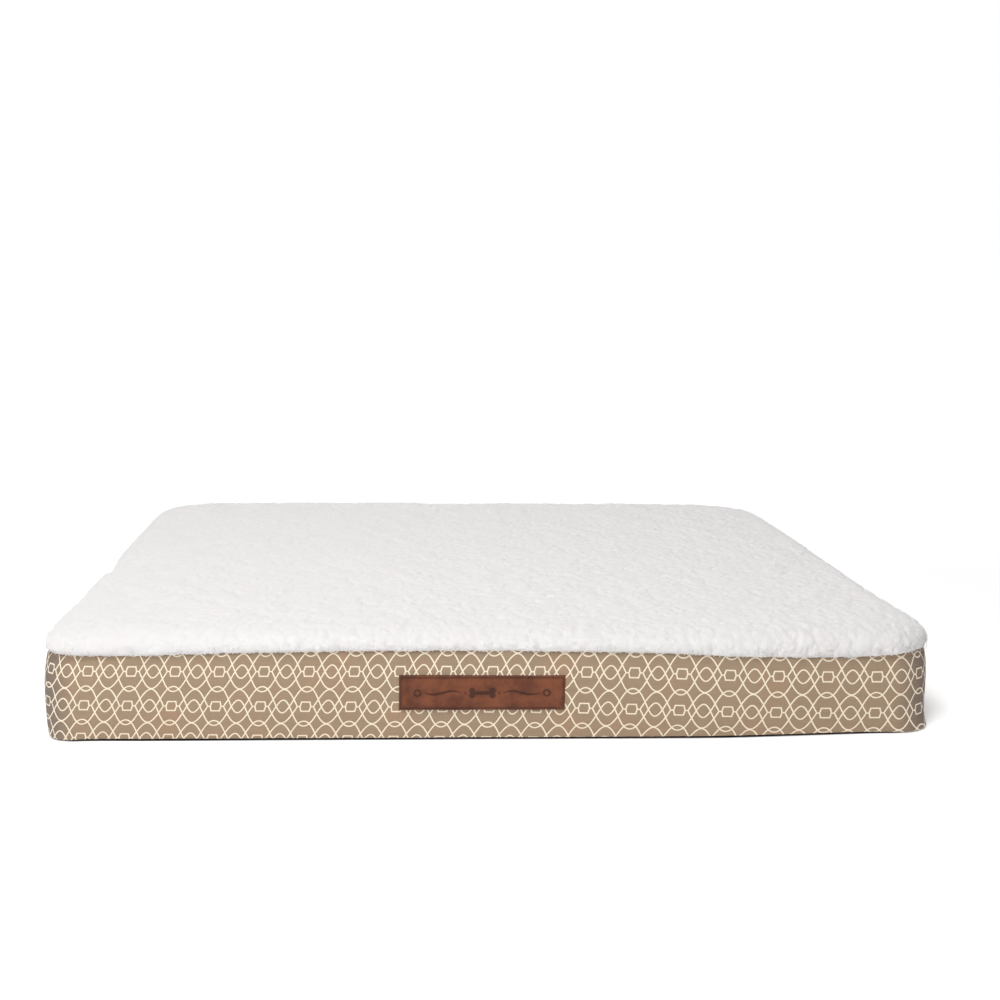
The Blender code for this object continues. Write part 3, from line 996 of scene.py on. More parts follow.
@dataclass(frozen=True)
class CoverForm:
    """The stuffed cover's shape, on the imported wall's outline.

    The front bows forwards, most to the right of the label, and its seam droops there. The front
    corners stand out like ears, and every corner tucks in at the floor.
    """

    half_x: float
    half_y: float
    seam_z: float
    belly: float = 1.6 * MM
    bow: float = 4.0 * MM
    ear_reach: float = 0.10
    dent: float = 10.0 * MM
    dent_y: float = -0.078
    dent_before: float = 0.013
    dent_after: float = 0.055
    corner_reach: float = 0.055
    # How far the painted corner shade reaches round each front corner.
    shade_reach: float = 0.028
    foot_fade: float = 12.0 * MM
    square_reach: float = 0.030
    ripple: float = 0.4 * MM
    foot_tuck: float = 2.5 * MM
    top_tuck: float = 6.0 * MM
    corners: tuple[Corner, ...] = (
        Corner(-1, 1, 0.040, 6 * MM, 4 * MM, 0.0),
        Corner(-1, -1, 0.030, 8 * MM, 9.5 * MM, 13.5 * MM),
        Corner(1, -1, 0.044, 2 * MM, 13 * MM, 21.0 * MM),
        Corner(1, 1, 0.040, 6 * MM, 4 * MM, 0.0),
    )
    push_most: float = 19.0 * MM
    push_x: float = 0.24
    push_rise: float = 0.026
    push_fall: float = 0.052
    push_round: float = 0.02
    seam_middle: float = 96.5 * MM
    sags: tuple[Swell, ...] = (Swell(-0.42, 0.16, 6 * MM), Swell(0.36, 0.17, 10 * MM))

    @classmethod
    def from_frame(cls) -> CoverForm:
        """Read the wall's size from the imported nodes."""
        low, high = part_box("gusset_band")
        return cls(half_x=(high.x - low.x) / 2, half_y=(high.y - low.y) / 2, seam_z=high.z + 0.5 * MM)

    def push_at(self, x: np.ndarray) -> np.ndarray:
        """How far the front bows forwards: a slow rise from the left and a quick fall to the right."""
        after = x - self.push_x
        even = (self.push_fall + self.push_rise) / 2 * np.hypot(after, self.push_round)
        return self.push_most - even - (self.push_fall - self.push_rise) / 2 * after

    def front_seam(self, x: np.ndarray) -> np.ndarray:
        """The height of the front's seam, which sags near both ends."""
        return self.seam_middle - sum(sag.at(x) for sag in self.sags)

    def radius_at(self, x: np.ndarray, y: np.ndarray) -> np.ndarray:
        """The radius of the corner nearest to each point."""
        radius = np.zeros_like(x)
        for corner in self.corners:
            radius[
                (np.sign(x + 1e-12) == corner.side_x) & (np.sign(y + 1e-12) == corner.side_y)
            ] = corner.radius
        return radius

    def corner_share(self, x: np.ndarray, y: np.ndarray) -> np.ndarray:
        """How near each point is to a corner, from 0 to 1."""
        share = np.zeros_like(x)
        for corner in self.corners:
            away = np.hypot(x - corner.side_x * self.half_x, y - corner.side_y * self.half_y)
            share = share + np.exp(-((away / self.corner_reach) ** 2))
        return share

    def corner_shade_amount(self, outline: Outline) -> np.ndarray:
        """How much painted shade the wall gets where it turns round a front corner, from 0 on the flats to
        1 at the corner.
        """
        share = np.zeros_like(outline.x)
        for corner in (corner for corner in self.corners if corner.side_y < 0):
            reach = self.half_x - CORNER_INSET * corner.radius, self.half_y - CORNER_INSET * corner.radius
            away = np.hypot(outline.x - corner.side_x * reach[0], outline.y - corner.side_y * reach[1])
            share = share + np.exp(-((away / self.shade_reach) ** 2))
        return share * np.sqrt(np.abs(outline.normal_x))

    def tuck_at(self, x: np.ndarray, y: np.ndarray, z: np.ndarray) -> np.ndarray:
        """How far the foot of the wall tucks in."""
        tuck = np.full_like(x, self.foot_tuck)
        for corner in self.corners:
            away = np.hypot(x - corner.side_x * self.half_x, y - corner.side_y * self.half_y)
            tuck = tuck + (corner.tuck - self.foot_tuck) * np.exp(-((away / self.corner_reach) ** 2))
            tuck = tuck - corner.square * np.exp(-((away / self.square_reach) ** 2))
        return tuck * np.exp(-np.maximum(z, 0.0) / self.foot_fade)

    def seam_height(self, x: np.ndarray, y: np.ndarray) -> np.ndarray:
        """The height of the seam between the wall and the fleece."""
        front = np.clip((-y / self.half_y - 0.3) / 0.7, 0.0, 1.0)
        ripple = self.ripple * np.sin(x * 41.0 + 1.3) * np.sin(y * 37.0 + 0.4)
        return self.seam_z + (self.front_seam(x) - self.seam_z) * front + ripple

    def settle(self, points: np.ndarray, height_share: np.ndarray) -> np.ndarray:
        """Push plain points into the stuffed shape, in plan.

        Args:
            points: Points on the plain rounded outline or inside it.
            height_share: From 0 at the floor to 1 at the top.

        Returns:
            The moved points.
        """
        x, y, z = points.T
        front = np.clip(-y / self.half_y, 0.0, 1.0) ** 3
        q = np.clip((y + self.half_y) / (2 * self.half_y), 0.0, 1.0)
        side = np.clip(np.abs(x / self.half_x), 0.0, 1.0)
        out = self.bow * np.sin(np.pi * q) * side**5 * np.sign(x)
        for corner in self.corners:
            here = np.sign(x) == corner.side_x
            near = np.exp(-(((y - corner.side_y * self.half_y) / self.ear_reach) ** 2))
            out = out + here * corner.side_x * corner.ear * near * side**6
        after = y - self.dent_y
        rising = np.exp(-((after / self.dent_before) ** 2))
        fading = np.exp(-np.abs(after) / self.dent_after)
        dent = np.where(after < 0, rising, fading)
        left = np.clip(-x / self.half_x, 0.0, 1.0) ** 14
        out = out + self.dent * dent * left * np.clip(height_share, 0.0, 1.0) ** 2
        return np.stack([x + out, y - self.push_at(x) * front, z], axis=1)


class Outline(NamedTuple):
    """Points round the wall, anticlockwise from above, from the middle of the back."""

    x: np.ndarray
    y: np.ndarray
    normal_x: np.ndarray
    normal_y: np.ndarray
    run: np.ndarray


def walk_outline(form: CoverForm, spacing: float) -> Outline:
    """Walk round the plain wall at an even spacing."""
    points: list[tuple[float, float, float, float]] = [(0.0, form.half_y, 0.0, 1.0)]
    for turn, corner in enumerate(form.corners):
        centre_x = corner.side_x * (form.half_x - corner.radius)
        centre_y = corner.side_y * (form.half_y - corner.radius)
        for step in range(25):
            angle = math.radians(90 * (1 + turn + step / 24))
            across, up = math.cos(angle), math.sin(angle)
            points.append(
                (centre_x + corner.radius * across, centre_y + corner.radius * up, across, up)
            )
    points.append(points[0])
    table = np.array(points)
    run = np.concatenate([[0.0], np.cumsum(np.hypot(np.diff(table[:, 0]), np.diff(table[:, 1])))])
    count = int(round(run[-1] / spacing))
    even = np.linspace(0.0, run[-1], count + 1)
    columns = [np.interp(even, run, table[:, i]) for i in range(4)]
    size = np.hypot(columns[2], columns[3])
    return Outline(columns[0], columns[1], columns[2] / size, columns[3] / size, even)


@dataclass(frozen=True)
class PrintLayout:
    """How the print lies on the wall: its repeats widen, its rows drift down and its columns lean."""

    form: CoverForm
    repeats_per_metre: float = 20.74
    widening: float = 6.34
    count_at_middle: float = 9.18
    lean: float = 0.055
    lean_growth: float = -0.17
    pulled: Swell = Swell(0.26, 0.12, 0.045)
    first_row: float = 75.6 * MM
    first_sag: Swell = Swell(0.457, 0.23, 12 * MM)
    row_height: float = 38.7 * MM
    row_growth: float = 5.6 * MM
    row_slowing: float = 5.0 * MM

    def across(self, outline: Outline) -> np.ndarray:
        """The count of repeats along the whole outline, fixed at the middle of the front."""
        flat = np.stack([outline.x, outline.y, np.full_like(outline.x, self.form.seam_z / 2)], axis=1)
        x, y, _ = self.form.settle(flat, np.full_like(outline.x, 0.5)).T
        rate = self.repeats_per_metre - self.widening * x
        steps = np.hypot(np.diff(x), np.diff(y)) * (rate[1:] + rate[:-1]) / 2
        count = np.concatenate([[0.0], np.cumsum(steps)])
        front = np.flatnonzero((outline.y < 0) & (outline.normal_y < -0.999))
        middle = np.interp(0.0, x[front], count[front])
        return count - middle + self.count_at_middle

    def across_back(self, x: np.ndarray, at_middle: float) -> np.ndarray:
        """The count of repeats along the back, from its count at the middle."""
        return at_middle - self.repeats_per_metre * x + self.widening * x**2 / 2

    def place(self, across: np.ndarray, x: np.ndarray, height: np.ndarray) -> np.ndarray:
        """Where points are on the print: the counts of repeats along it and of rows down it."""
        first = self.first_row - self.first_sag.at(x)
        row = self.row_height + self.row_growth * x - self.row_slowing * x**2
        down = (first - height) / row
        leaning = (self.lean + self.lean_growth * x) * down
        return np.stack([across + self.pulled.at(x) + leaning, down], axis=1)


@dataclass(frozen=True)
class RimCut:
    """The cut through a skin's rim, from its lower edge up and inwards: outward offset and height."""

    offsets: np.ndarray
    heights: np.ndarray

    @property
    def run(self) -> np.ndarray:
        """How far along the skin each point of the cut is."""
        steps = np.hypot(np.diff(self.offsets), np.diff(self.heights))
        return np.concatenate([[0.0], np.cumsum(steps)])


@dataclass
class RoundedSkin:
    """A grid skin over the bed's plan, whose edge turns down along a rim cut."""

    form: CoverForm
    cut: RimCut
    spacing: float
    points: np.ndarray = field(init=False)
    depth: np.ndarray = field(init=False)
    rows: int = field(init=False)
    columns: int = field(init=False)

    def __post_init__(self) -> None:
        """Lay the flat grid and wrap it over the rounded plan."""
        run = self.cut.run
        inner = self.cut.offsets[-1]
        flat_x = self.form.half_x + inner + run[-1]
        flat_y = self.form.half_y + inner + run[-1]
        self.columns = 2 * int(round(flat_x / self.spacing)) + 1
        self.rows = 2 * int(round(flat_y / self.spacing)) + 1
        gx, gy = np.meshgrid(
            np.linspace(-flat_x, flat_x, self.columns), np.linspace(-flat_y, flat_y, self.rows)
        )
        gx, gy = gx.ravel(), gy.ravel()
        self.depth = np.minimum(flat_x - np.abs(gx), flat_y - np.abs(gy))
        beyond = np.maximum(self.depth - run[-1], 0.0)
        offset = np.interp(self.depth, run, self.cut.offsets) - beyond
        height = np.interp(self.depth, run, self.cut.heights)
        half_x, half_y = self.form.half_x + offset, self.form.half_y + offset
        radius = np.maximum(self.form.radius_at(gx, gy) + offset, 0.2 * MM)
        share_x = gx / np.maximum(flat_x - self.depth, 1e-9)
        share_y = gy / np.maximum(flat_y - self.depth, 1e-9)
        on_side = flat_x - np.abs(gx) <= flat_y - np.abs(gy)
        line_x, line_y = share_x * half_x, share_y * half_y
        past_side = np.clip((np.abs(line_y) - (half_y - radius)) / radius, 0.0, 1.0)
        past_end = np.clip((np.abs(line_x) - (half_x - radius)) / radius, 0.0, 1.0)
        angle = np.where(on_side, past_side * math.pi / 4, math.pi / 2 - past_end * math.pi / 4)
        bent = np.where(on_side, past_side > 0, past_end > 0)
        sign_x, sign_y = np.sign(gx), np.sign(gy)
        arc_x = sign_x * (half_x - radius + radius * np.cos(angle))
        arc_y = sign_y * (half_y - radius + radius * np.sin(angle))
        x = np.where(bent, arc_x, np.where(on_side, np.sign(share_x) * half_x, line_x))
        y = np.where(bent, arc_y, np.where(on_side, line_y, np.sign(share_y) * half_y))
        self.points = np.stack([x, y, height], axis=1)

    def edge(self) -> np.ndarray:
        """The indices of the boundary points, anticlockwise."""
        return grid_edge(self.rows, self.columns)

    def closed(self, name: str, finish: Finish, under_rings: Sequence[np.ndarray]) -> bpy.types.Object:
        """Make the skin a closed form, with rings of points under its edge and a flat floor."""
        edge = self.edge()
        count = len(edge)
        points = [self.points]
        faces = grid_faces(self.rows, self.columns).tolist()
        above = edge.tolist()
        total = len(self.points)
        for ring in under_rings:
            points.append(ring)
            below = list(range(total, total + count))
            total += count
            for i in range(count):
                j = (i + 1) % count
                faces.append([above[j], above[i], below[i], below[j]])
            above = below
        faces.append(above[::-1])
        return link_mesh(name, np.concatenate(points), faces, finish)


# ---- The fleece --------------------------------------------------------------------------------


@dataclass(frozen=True)
class Drape:
    """Lets a coarse skin settle as cloth, held along its rim, on the flat top of its filling."""

    spacing: float = 14.0 * MM
    held: float = 24.0 * MM
    gap: float = 2.5 * MM
    slack: float = 0.012
    frames: int = 20
    reach: float = 2.2 * MM
    touch: float = 0.5 * MM
    mass: float = 0.25
    stretch_stiffness: float = 12.0
    shear_stiffness: float = 4.0
    bending_stiffness: float = 0.6

    def run(self, skin: RoundedSkin) -> np.ndarray:
        """Simulate the skin and measure it.

        Args:
            skin: A shaped coarse skin.

        Returns:
            How far each of its points rose or sank, in metres.
        """
        cloth = link_mesh("drape", skin.points, grid_faces(skin.rows, skin.columns), FLEECE)
        rim = cloth.vertex_groups.new(name="held")
        weights = np.clip(2.0 - skin.depth / self.held, 0.0, 1.0)
        for index in np.flatnonzero(weights > 0.0).tolist():
            rim.add([index], float(weights[index]), "REPLACE")
        span_x, span_y = np.abs(skin.points[:, 0]).max(), np.abs(skin.points[:, 1]).max()
        top = float(np.median(skin.points[:, 2])) - self.gap
        plan = np.array(
            [
                (-span_x, -span_y, top),
                (span_x, -span_y, top),
                (span_x, span_y, top),
                (-span_x, span_y, top),
            ],
        )
        bench = link_mesh("drape_bench", plan, [[0, 1, 2, 3]], FLEECE)
        bench.modifiers.new("bench", "COLLISION")
        bench.collision.thickness_outer = self.touch
        modifier = cloth.modifiers.new("cloth", "CLOTH")
        settings = modifier.settings
        settings.quality = 6
        settings.mass = self.mass
        settings.tension_stiffness = settings.compression_stiffness = self.stretch_stiffness
        settings.shear_stiffness = self.shear_stiffness
        settings.bending_stiffness = self.bending_stiffness
        settings.shrink_min = -self.slack
        settings.vertex_group_mass = rim.name
        modifier.collision_settings.distance_min = self.touch
        modifier.point_cache.frame_start = 1
        modifier.point_cache.frame_end = self.frames
        scene = bpy.context.scene
        for frame in range(1, self.frames + 1):
            scene.frame_set(frame)
        settled = cloth.evaluated_get(bpy.context.evaluated_depsgraph_get()).data
        points = np.empty(len(settled.vertices) * 3)
        settled.vertices.foreach_get("co", points)
        change = points.reshape(-1, 3)[:, 2] - skin.points[:, 2]
        LOG.info("the fleece settled by %.1f to %.1f mm", change.min() * 1000, change.max() * 1000)
        scene.frame_set(1)
        for piece in (cloth, bench):
            piece.modifiers.clear()
            bpy.data.objects.remove(piece, do_unlink=True)
        return np.clip(change - np.median(change), -self.reach, self.reach) * np.clip(
            skin.depth / self.held - 1.0, 0, 1
        )


@dataclass(frozen=True)
class FleeceTop:
    """The sherpa panel: a puffed skin with a curly pile and a ragged lower edge."""

    form: CoverForm
    drape: Drape = Drape()
    spacing: float = 2.0 * MM
    overhang: float = 0.9 * MM
    roll: float = 26.0 * MM
    crown_z: float = 0.1145
    swell: float = 1.5 * MM
    corner_dip: float = 7.0 * MM
    squareness: float = 2.9
    fringe: float = 3.0 * MM
    swell_reach: float = 0.07
    waves: float = 1.1 * MM
    puff: float = 1.7 * MM

    def rim(self) -> RimCut:
        """A squarish roll from under the seam up on to the top; heights run from 0 to 1."""
        angle = np.linspace(0.0, math.pi / 2, 60)
        power = 2.0 / self.squareness
        offsets = self.overhang - self.roll * (1.0 - np.cos(angle) ** power)
        heights = np.sin(angle) ** power * (self.crown_z - self.form.seam_z)
        return RimCut(
            np.concatenate([[-0.6 * MM, 1.0 * MM], offsets]),
            np.concatenate([[-1.6 * MM, -1.5 * MM], heights]),
        )

    def shape(self, skin: RoundedSkin) -> None:
        """Turn the plain skin into the stuffed top."""
        form = self.form
        plain = skin.points
        x, y, rise = plain.T
        tall = self.crown_z - form.seam_z
        share = np.clip(rise / tall, -0.2, 1.0)
        seam = form.seam_height(x, y)
        foot = seam + self.fringe
        z = np.where(share < 0, foot + rise, foot + (self.crown_z - foot) * share)
        near = form.corner_share(x, y)
        edge_away = np.minimum(form.half_x - np.abs(x), form.half_y - np.abs(y))
        z += self.swell * (
            1.0 - np.exp(-np.maximum(edge_away, 0.0) / self.swell_reach)
        ) - self.corner_dip * near * np.clip(share, 0, 1) ** 2
        inward = form.top_tuck * near * np.exp(-np.maximum(skin.depth - 0.02, 0.0) / 0.03)
        x = x - np.sign(x) * inward * 0.7
        y = y - np.sign(y) * inward * 0.7
        slow = smooth_noise(np.stack([x, y, z * 0.0], axis=1), 0.10, 3.7) + 0.5 * smooth_noise(
            plain, 0.045, 9.1
        )
        z += self.waves * slow * np.clip(share, 0, 1)
        puff = smooth_noise(plain, 0.022, 5.5) * np.exp(-skin.depth / 0.03)
        settled = form.settle(np.stack([x, y, z], axis=1), np.ones_like(x))
        out = np.maximum(np.hypot(settled[:, 0], settled[:, 1]), 1.0 * MM)
        settled[:, 0] += puff * self.puff * settled[:, 0] / out
        settled[:, 1] += puff * self.puff * settled[:, 1] / out
        skin.points = settled

    def settling(self, skin: RoundedSkin) -> np.ndarray:
        """How far the fleece rises or sinks at each point once it has settled on its filling.

        Args:
            skin: The shaped fine skin.

        Returns:
            The change of height of each of its points, in metres.
        """
        coarse = RoundedSkin(self.form, self.rim(), self.drape.spacing)
        self.shape(coarse)
        change = self.drape.run(coarse).reshape(coarse.rows, coarse.columns)
        rows = np.linspace(0.0, coarse.rows - 1.0, skin.rows)
        columns = np.linspace(0.0, coarse.columns - 1.0, skin.columns)
        wide = np.array([np.interp(columns, np.arange(coarse.columns), row) for row in change])
        fine = np.array([np.interp(rows, np.arange(coarse.rows), column) for column in wide.T]).T
        for _ in range(12):
            padded = np.pad(fine, 1, mode="edge")
            fine = (padded[:-2, 1:-1] + padded[2:, 1:-1] + padded[1:-1, :-2] + padded[1:-1, 2:]) / 4
        return fine.ravel()

    def make(self) -> list[bpy.types.Object]:
        """Build the panel and the tufts along its lower edge."""
        skin = RoundedSkin(self.form, self.rim(), self.spacing)
        self.shape(skin)
        skin.points[:, 2] += self.settling(skin)
        edge = skin.points[skin.edge()]
        tucked = edge * [1.0 - 0.010, 1.0 - 0.013, 1.0] + [0.0, 0.0, 1.0 * MM]
        inside = tucked * [1.0, 1.0, 0.0] + [0.0, 0.0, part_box("egg_crate_foam")[1].z + 0.4 * MM]
        plain = skin.closed("fleece_plain", FLEECE, (tucked, inside))
        count = len(plain.data.vertices)
        lift = np.zeros(count)
        lift[: len(skin.depth)] = np.clip(skin.depth / (4 * MM), 0.15, 1.0)
        fringe = np.zeros(count)
        fringe[: len(skin.depth)] = np.clip(1.0 - skin.depth / (9 * MM), 0.0, 1.0) * (
            skin.depth > 0.8 * MM
        )
        add_number(plain, "lift", lift)
        add_number(plain, "locks", fringe)
        panel = pile_rule().make("fleece_top", plain, FLEECE)
        place_piece(panel, Body.BED, "sherpa_fleece", "fleece_top_panel")
        tufts = lock_rule().make("fleece_fringe", panel, FLEECE, keep_host=True)
        add_number(tufts, "pile", np.full(len(tufts.data.vertices), 0.8))
        place_piece(tufts, Body.BED, "sherpa_fleece", "fleece_top_panel")
        return [panel, tufts]


# ---- The wall ----------------------------------------------------------------------------------


@dataclass(frozen=True)
class PrintedWall:
    """The printed cloth: one strip round the bed, and two strips at the back beside the zip."""

    form: CoverForm
    layout: PrintLayout
    spacing: float = 3.0 * MM
    rows: int = 30
    thickness: float = 0.8 * MM
    hem: float = 3.0 * MM
    foot_z: float = 2.0 * MM
    under_fleece: float = 1.6 * MM
    corner_drop: float = 1.5 * MM

    def surface(
        self, outline: Outline, across: np.ndarray, low: float, high: float | None, hemmed: bool
    ) -> tuple[np.ndarray, np.ndarray, np.ndarray]:
        """Wall points from the lower edge up.

        Args:
            outline: Where the strip runs.
            across: The print's count of repeats along it.
            low: The height of its lower edge.
            high: The height of its upper edge, or None for the top seam.
            hemmed: Whether the lower edge turns under.

        Returns:
            The points, row by row, and the two UV maps for them.
        """
        form = self.form
        seam = form.seam_height(outline.x, outline.y)
        top = seam + self.under_fleece if high is None else np.full_like(seam, high)
        turns = 4 if hemmed else 0
        start = low + self.hem * math.sin(1.1) if hemmed else low
        shares = np.concatenate([np.zeros(turns), np.linspace(0.0, 1.0, self.rows - turns)])
        back = np.clip(outline.normal_y, 0.0, 1.0) ** 2
        near = form.corner_share(outline.x, outline.y)
        points, prints, cloths = [], [], []
        for row in range(self.rows):
            z = start + (top - start) * shares[row]
            inset, length = 0.0, 0.0
            z = z - self.corner_drop * near * (1.0 - shares[row])
            if row < turns:
                angle = 1.1 * (turns - row) / turns
                inset = self.hem * (1.0 - math.cos(angle))
                z = z - self.hem * math.sin(angle)
                length = self.hem * (angle - math.sin(angle))
            share = np.clip(z / seam, 0.0, 1.0)
            belly = form.belly * np.sin(np.pi * share) * (1.0 - near)
            pull = form.tuck_at(outline.x, outline.y, z) + form.top_tuck * near * share**6
            pucker = 0.35 * MM * np.sin(outline.run * 260.0 + 2.0 * np.sin(outline.run * 31.0))
            pucker = pucker * np.exp(-np.maximum(seam - z, 0.0) / (14 * MM))
            spot = np.stack([outline.x, outline.y, z], axis=1)
            wave = smooth_noise(spot, 0.075, 1.9) * (0.8 * MM) + smooth_noise(spot, 0.025, 6.3) * (
                0.25 * MM
            )
            out = (belly - pull + pucker + wave) * (1.0 - back) - inset
            x = outline.x + outline.normal_x * out
            y = outline.y + outline.normal_y * out
            points.append(form.settle(np.stack([x, y, z], axis=1), share))
            prints.append(self.layout.place(across, outline.x, z - length))
            cloths.append(np.stack([outline.run, z - length], axis=1))
        return np.concatenate(points), np.concatenate(prints), np.concatenate(cloths)

    def strip(
        self, name: str, outline: Outline, across: np.ndarray, low: float, high: float | None, hemmed: bool
    ) -> bpy.types.Object:
        """Make one strip of wall with its UV maps and its thickness."""
        points, print_uv, cloth_uv = self.surface(outline, across, low, high, hemmed)
        faces = grid_faces(self.rows, len(outline.x))
        piece = link_mesh(name, points, faces, CANVAS)
        add_uv(piece, "print", print_uv)
        add_uv(piece, "cloth", cloth_uv)
        # The 'turn' number is painted shade for the canvas round the front corners.
        add_number(piece, "turn", np.tile(self.form.corner_shade_amount(outline), self.rows))
        thicken(piece, self.thickness)
        return piece

    def part_of(self, outline: Outline, keep: np.ndarray) -> Outline:
        """The points of an outline that a strip keeps."""
        return Outline(*(column[keep] for column in outline))

    def make(self) -> list[bpy.types.Object]:
        """Build the three strips."""
        low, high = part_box("gusset_back_upper")
        end_x = high.x
        outline = walk_outline(self.form, self.spacing)
        across = self.layout.across(outline)
        beyond = ~((outline.normal_y > 0.999) & (np.abs(outline.x) < end_x + 0.4 * MM))
        band = self.part_of(outline, beyond)
        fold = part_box("gusset_back_lower")[1].z
        xs = np.linspace(end_x, -end_x, 277)
        back = Outline(
            xs,
            np.full_like(xs, self.form.half_y),
            np.zeros_like(xs),
            np.ones_like(xs),
            np.interp(-xs, [-end_x, end_x], [-end_x, end_x]),
        )
        pieces = []
        behind = self.layout.across_back(xs, across[0])
        plans = (
            ("wall_band", band, across[beyond], self.foot_z, None, True, "gusset_band"),
            ("wall_back_upper", back, behind, low.z, None, False, "gusset_back_upper"),
            ("wall_back_lower", back, behind, self.foot_z, fold, True, "gusset_back_lower"),
        )
        for name, where, repeats, foot, head, hemmed, node in plans:
            piece = self.strip(name, where, repeats, foot, head, hemmed)
            place_piece(piece, Body.BED, "printed_cloth", node)
            tall = (self.form.seam_z if head is None else head) - foot + (
                0.2 * self.hem if hemmed else 0.0
            )
            float(where.run[-1] - where.run[0])
            pieces.append(piece)
        return pieces

    def front_point(self, x: np.ndarray, z: np.ndarray) -> np.ndarray:
        """Points on the front of the wall, for what is sewn to it."""
        share = np.clip(z / self.form.seam_z, 0.0, 1.0)
        y = -self.form.half_y - self.form.belly * np.sin(np.pi * share)
        return self.form.settle(np.stack([x, y, z], axis=1), share)


@dataclass(frozen=True)
class BaseCloth:
    """The dark base: a flat sheet whose rolled edge shows under the wall."""

    form: CoverForm
    edge_in: float = 1.2 * MM
    roll: float = 1.2 * MM
    spacing: float = 8.0 * MM

    def make(self) -> bpy.types.Object:
        """Build the base with its rolled edge."""
        angle = np.linspace(0.0, math.pi / 2, 7)
        offsets = -self.edge_in - self.roll * (1.0 - np.cos(angle))
        cut = RimCut(offsets, self.roll + self.roll * np.sin(angle))
        skin = RoundedSkin(self.form, cut, self.spacing)
        x, y, z = skin.points.T
        tuck = self.form.tuck_at(x, y, z) * np.exp(-skin.depth / 0.03)
        length = np.maximum(np.hypot(x, y), 1e-6)
        moved = np.stack([x - x / length * tuck, y - y / length * tuck, z], axis=1)
        skin.points = self.form.settle(moved, np.zeros_like(x))
        edge = skin.points[skin.edge()]
        rings = [edge * [1.0, 1.0, 0.0] + [0.0, 0.0, 0.45 * MM], edge * [0.9985, 0.998, 0.0]]
        piece = skin.closed("base_cloth", BASE_CLOTH, rings)
        where = np.array([vertex.co[:2] for vertex in piece.data.vertices])
        add_uv(piece, "cloth", where)
        place_piece(piece, Body.BED, "base_cloth", "bottom_panel")
        return piece


# ---- The foam ----------------------------------------------------------------------------------


@dataclass(frozen=True)
class FoamCore:
    """A firm slab, and over it a convoluted layer whose peaks carry the animal."""

    form: CoverForm
    spacing: float = 7.0 * MM
    pitch: float = 42.0 * MM
    relief: float = 22.0 * MM
    edge: float = 5.0 * MM
    margin: float = 40.0 * MM

    def skin(self, low: float, high: float, inset: float) -> RoundedSkin:
        """A slab's upper skin with a rounded upper edge and straight sides."""
        angle = np.linspace(0.0, math.pi / 2, 5)
        offsets = -inset - self.edge * (1.0 - np.cos(angle))
        heights = high - self.edge + self.edge * np.sin(angle)
        sides = np.linspace(low + self.edge, high - self.edge, 6)[:-1]
        return RoundedSkin(
            self.form,
            RimCut(np.concatenate([np.full(5, -inset), offsets]), np.concatenate([sides, heights])),
            self.spacing,
        )

    def make(self) -> list[bpy.types.Object]:
        """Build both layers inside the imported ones' heights."""
        pieces = []
        wall_half = self.form.half_x
        for name, node, slot, finish, waved in (
            ("support_slab", "support_foam", "support_foam", SUPPORT_FOAM, False),
            ("crate_layer", "egg_crate_foam", "crate_foam", CRATE_FOAM, True),
        ):
            low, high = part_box(node)
            skin = self.skin(low.z, high.z, wall_half - high.x + 2.0 * MM)
            x, y, z = skin.points.T
            if waved:
                inner = np.clip((skin.depth - self.margin) / self.margin, 0.0, 1.0)
                wave = np.cos(x * math.tau / self.pitch) * np.cos(y * math.tau / self.pitch)
                z = z - self.relief * inner * (0.5 - 0.5 * wave)
            skin.points = np.stack([x, y, z], axis=1)
            edge = skin.points[skin.edge()]
            foot = edge * [0.995, 0.993, 0.0] + [0.0, 0.0, low.z]
            piece = skin.closed(name, finish, (foot,))
            place_piece(piece, Body.BED, slot, node)
            pieces.append(piece)
        return pieces


# ---- The label ---------------------------------------------------------------------------------


def near_segment(
    x: np.ndarray, z: np.ndarray, start: Sequence[float], end: Sequence[float]
) -> np.ndarray:
    """The distance from each point to a straight stroke."""
    run_x, run_z = end[0] - start[0], end[1] - start[1]
    along = ((x - start[0]) * run_x + (z - start[1]) * run_z) / (run_x**2 + run_z**2)
    along = np.clip(along, 0.0, 1.0)
    return np.hypot(x - start[0] - run_x * along, z - start[1] - run_z * along)


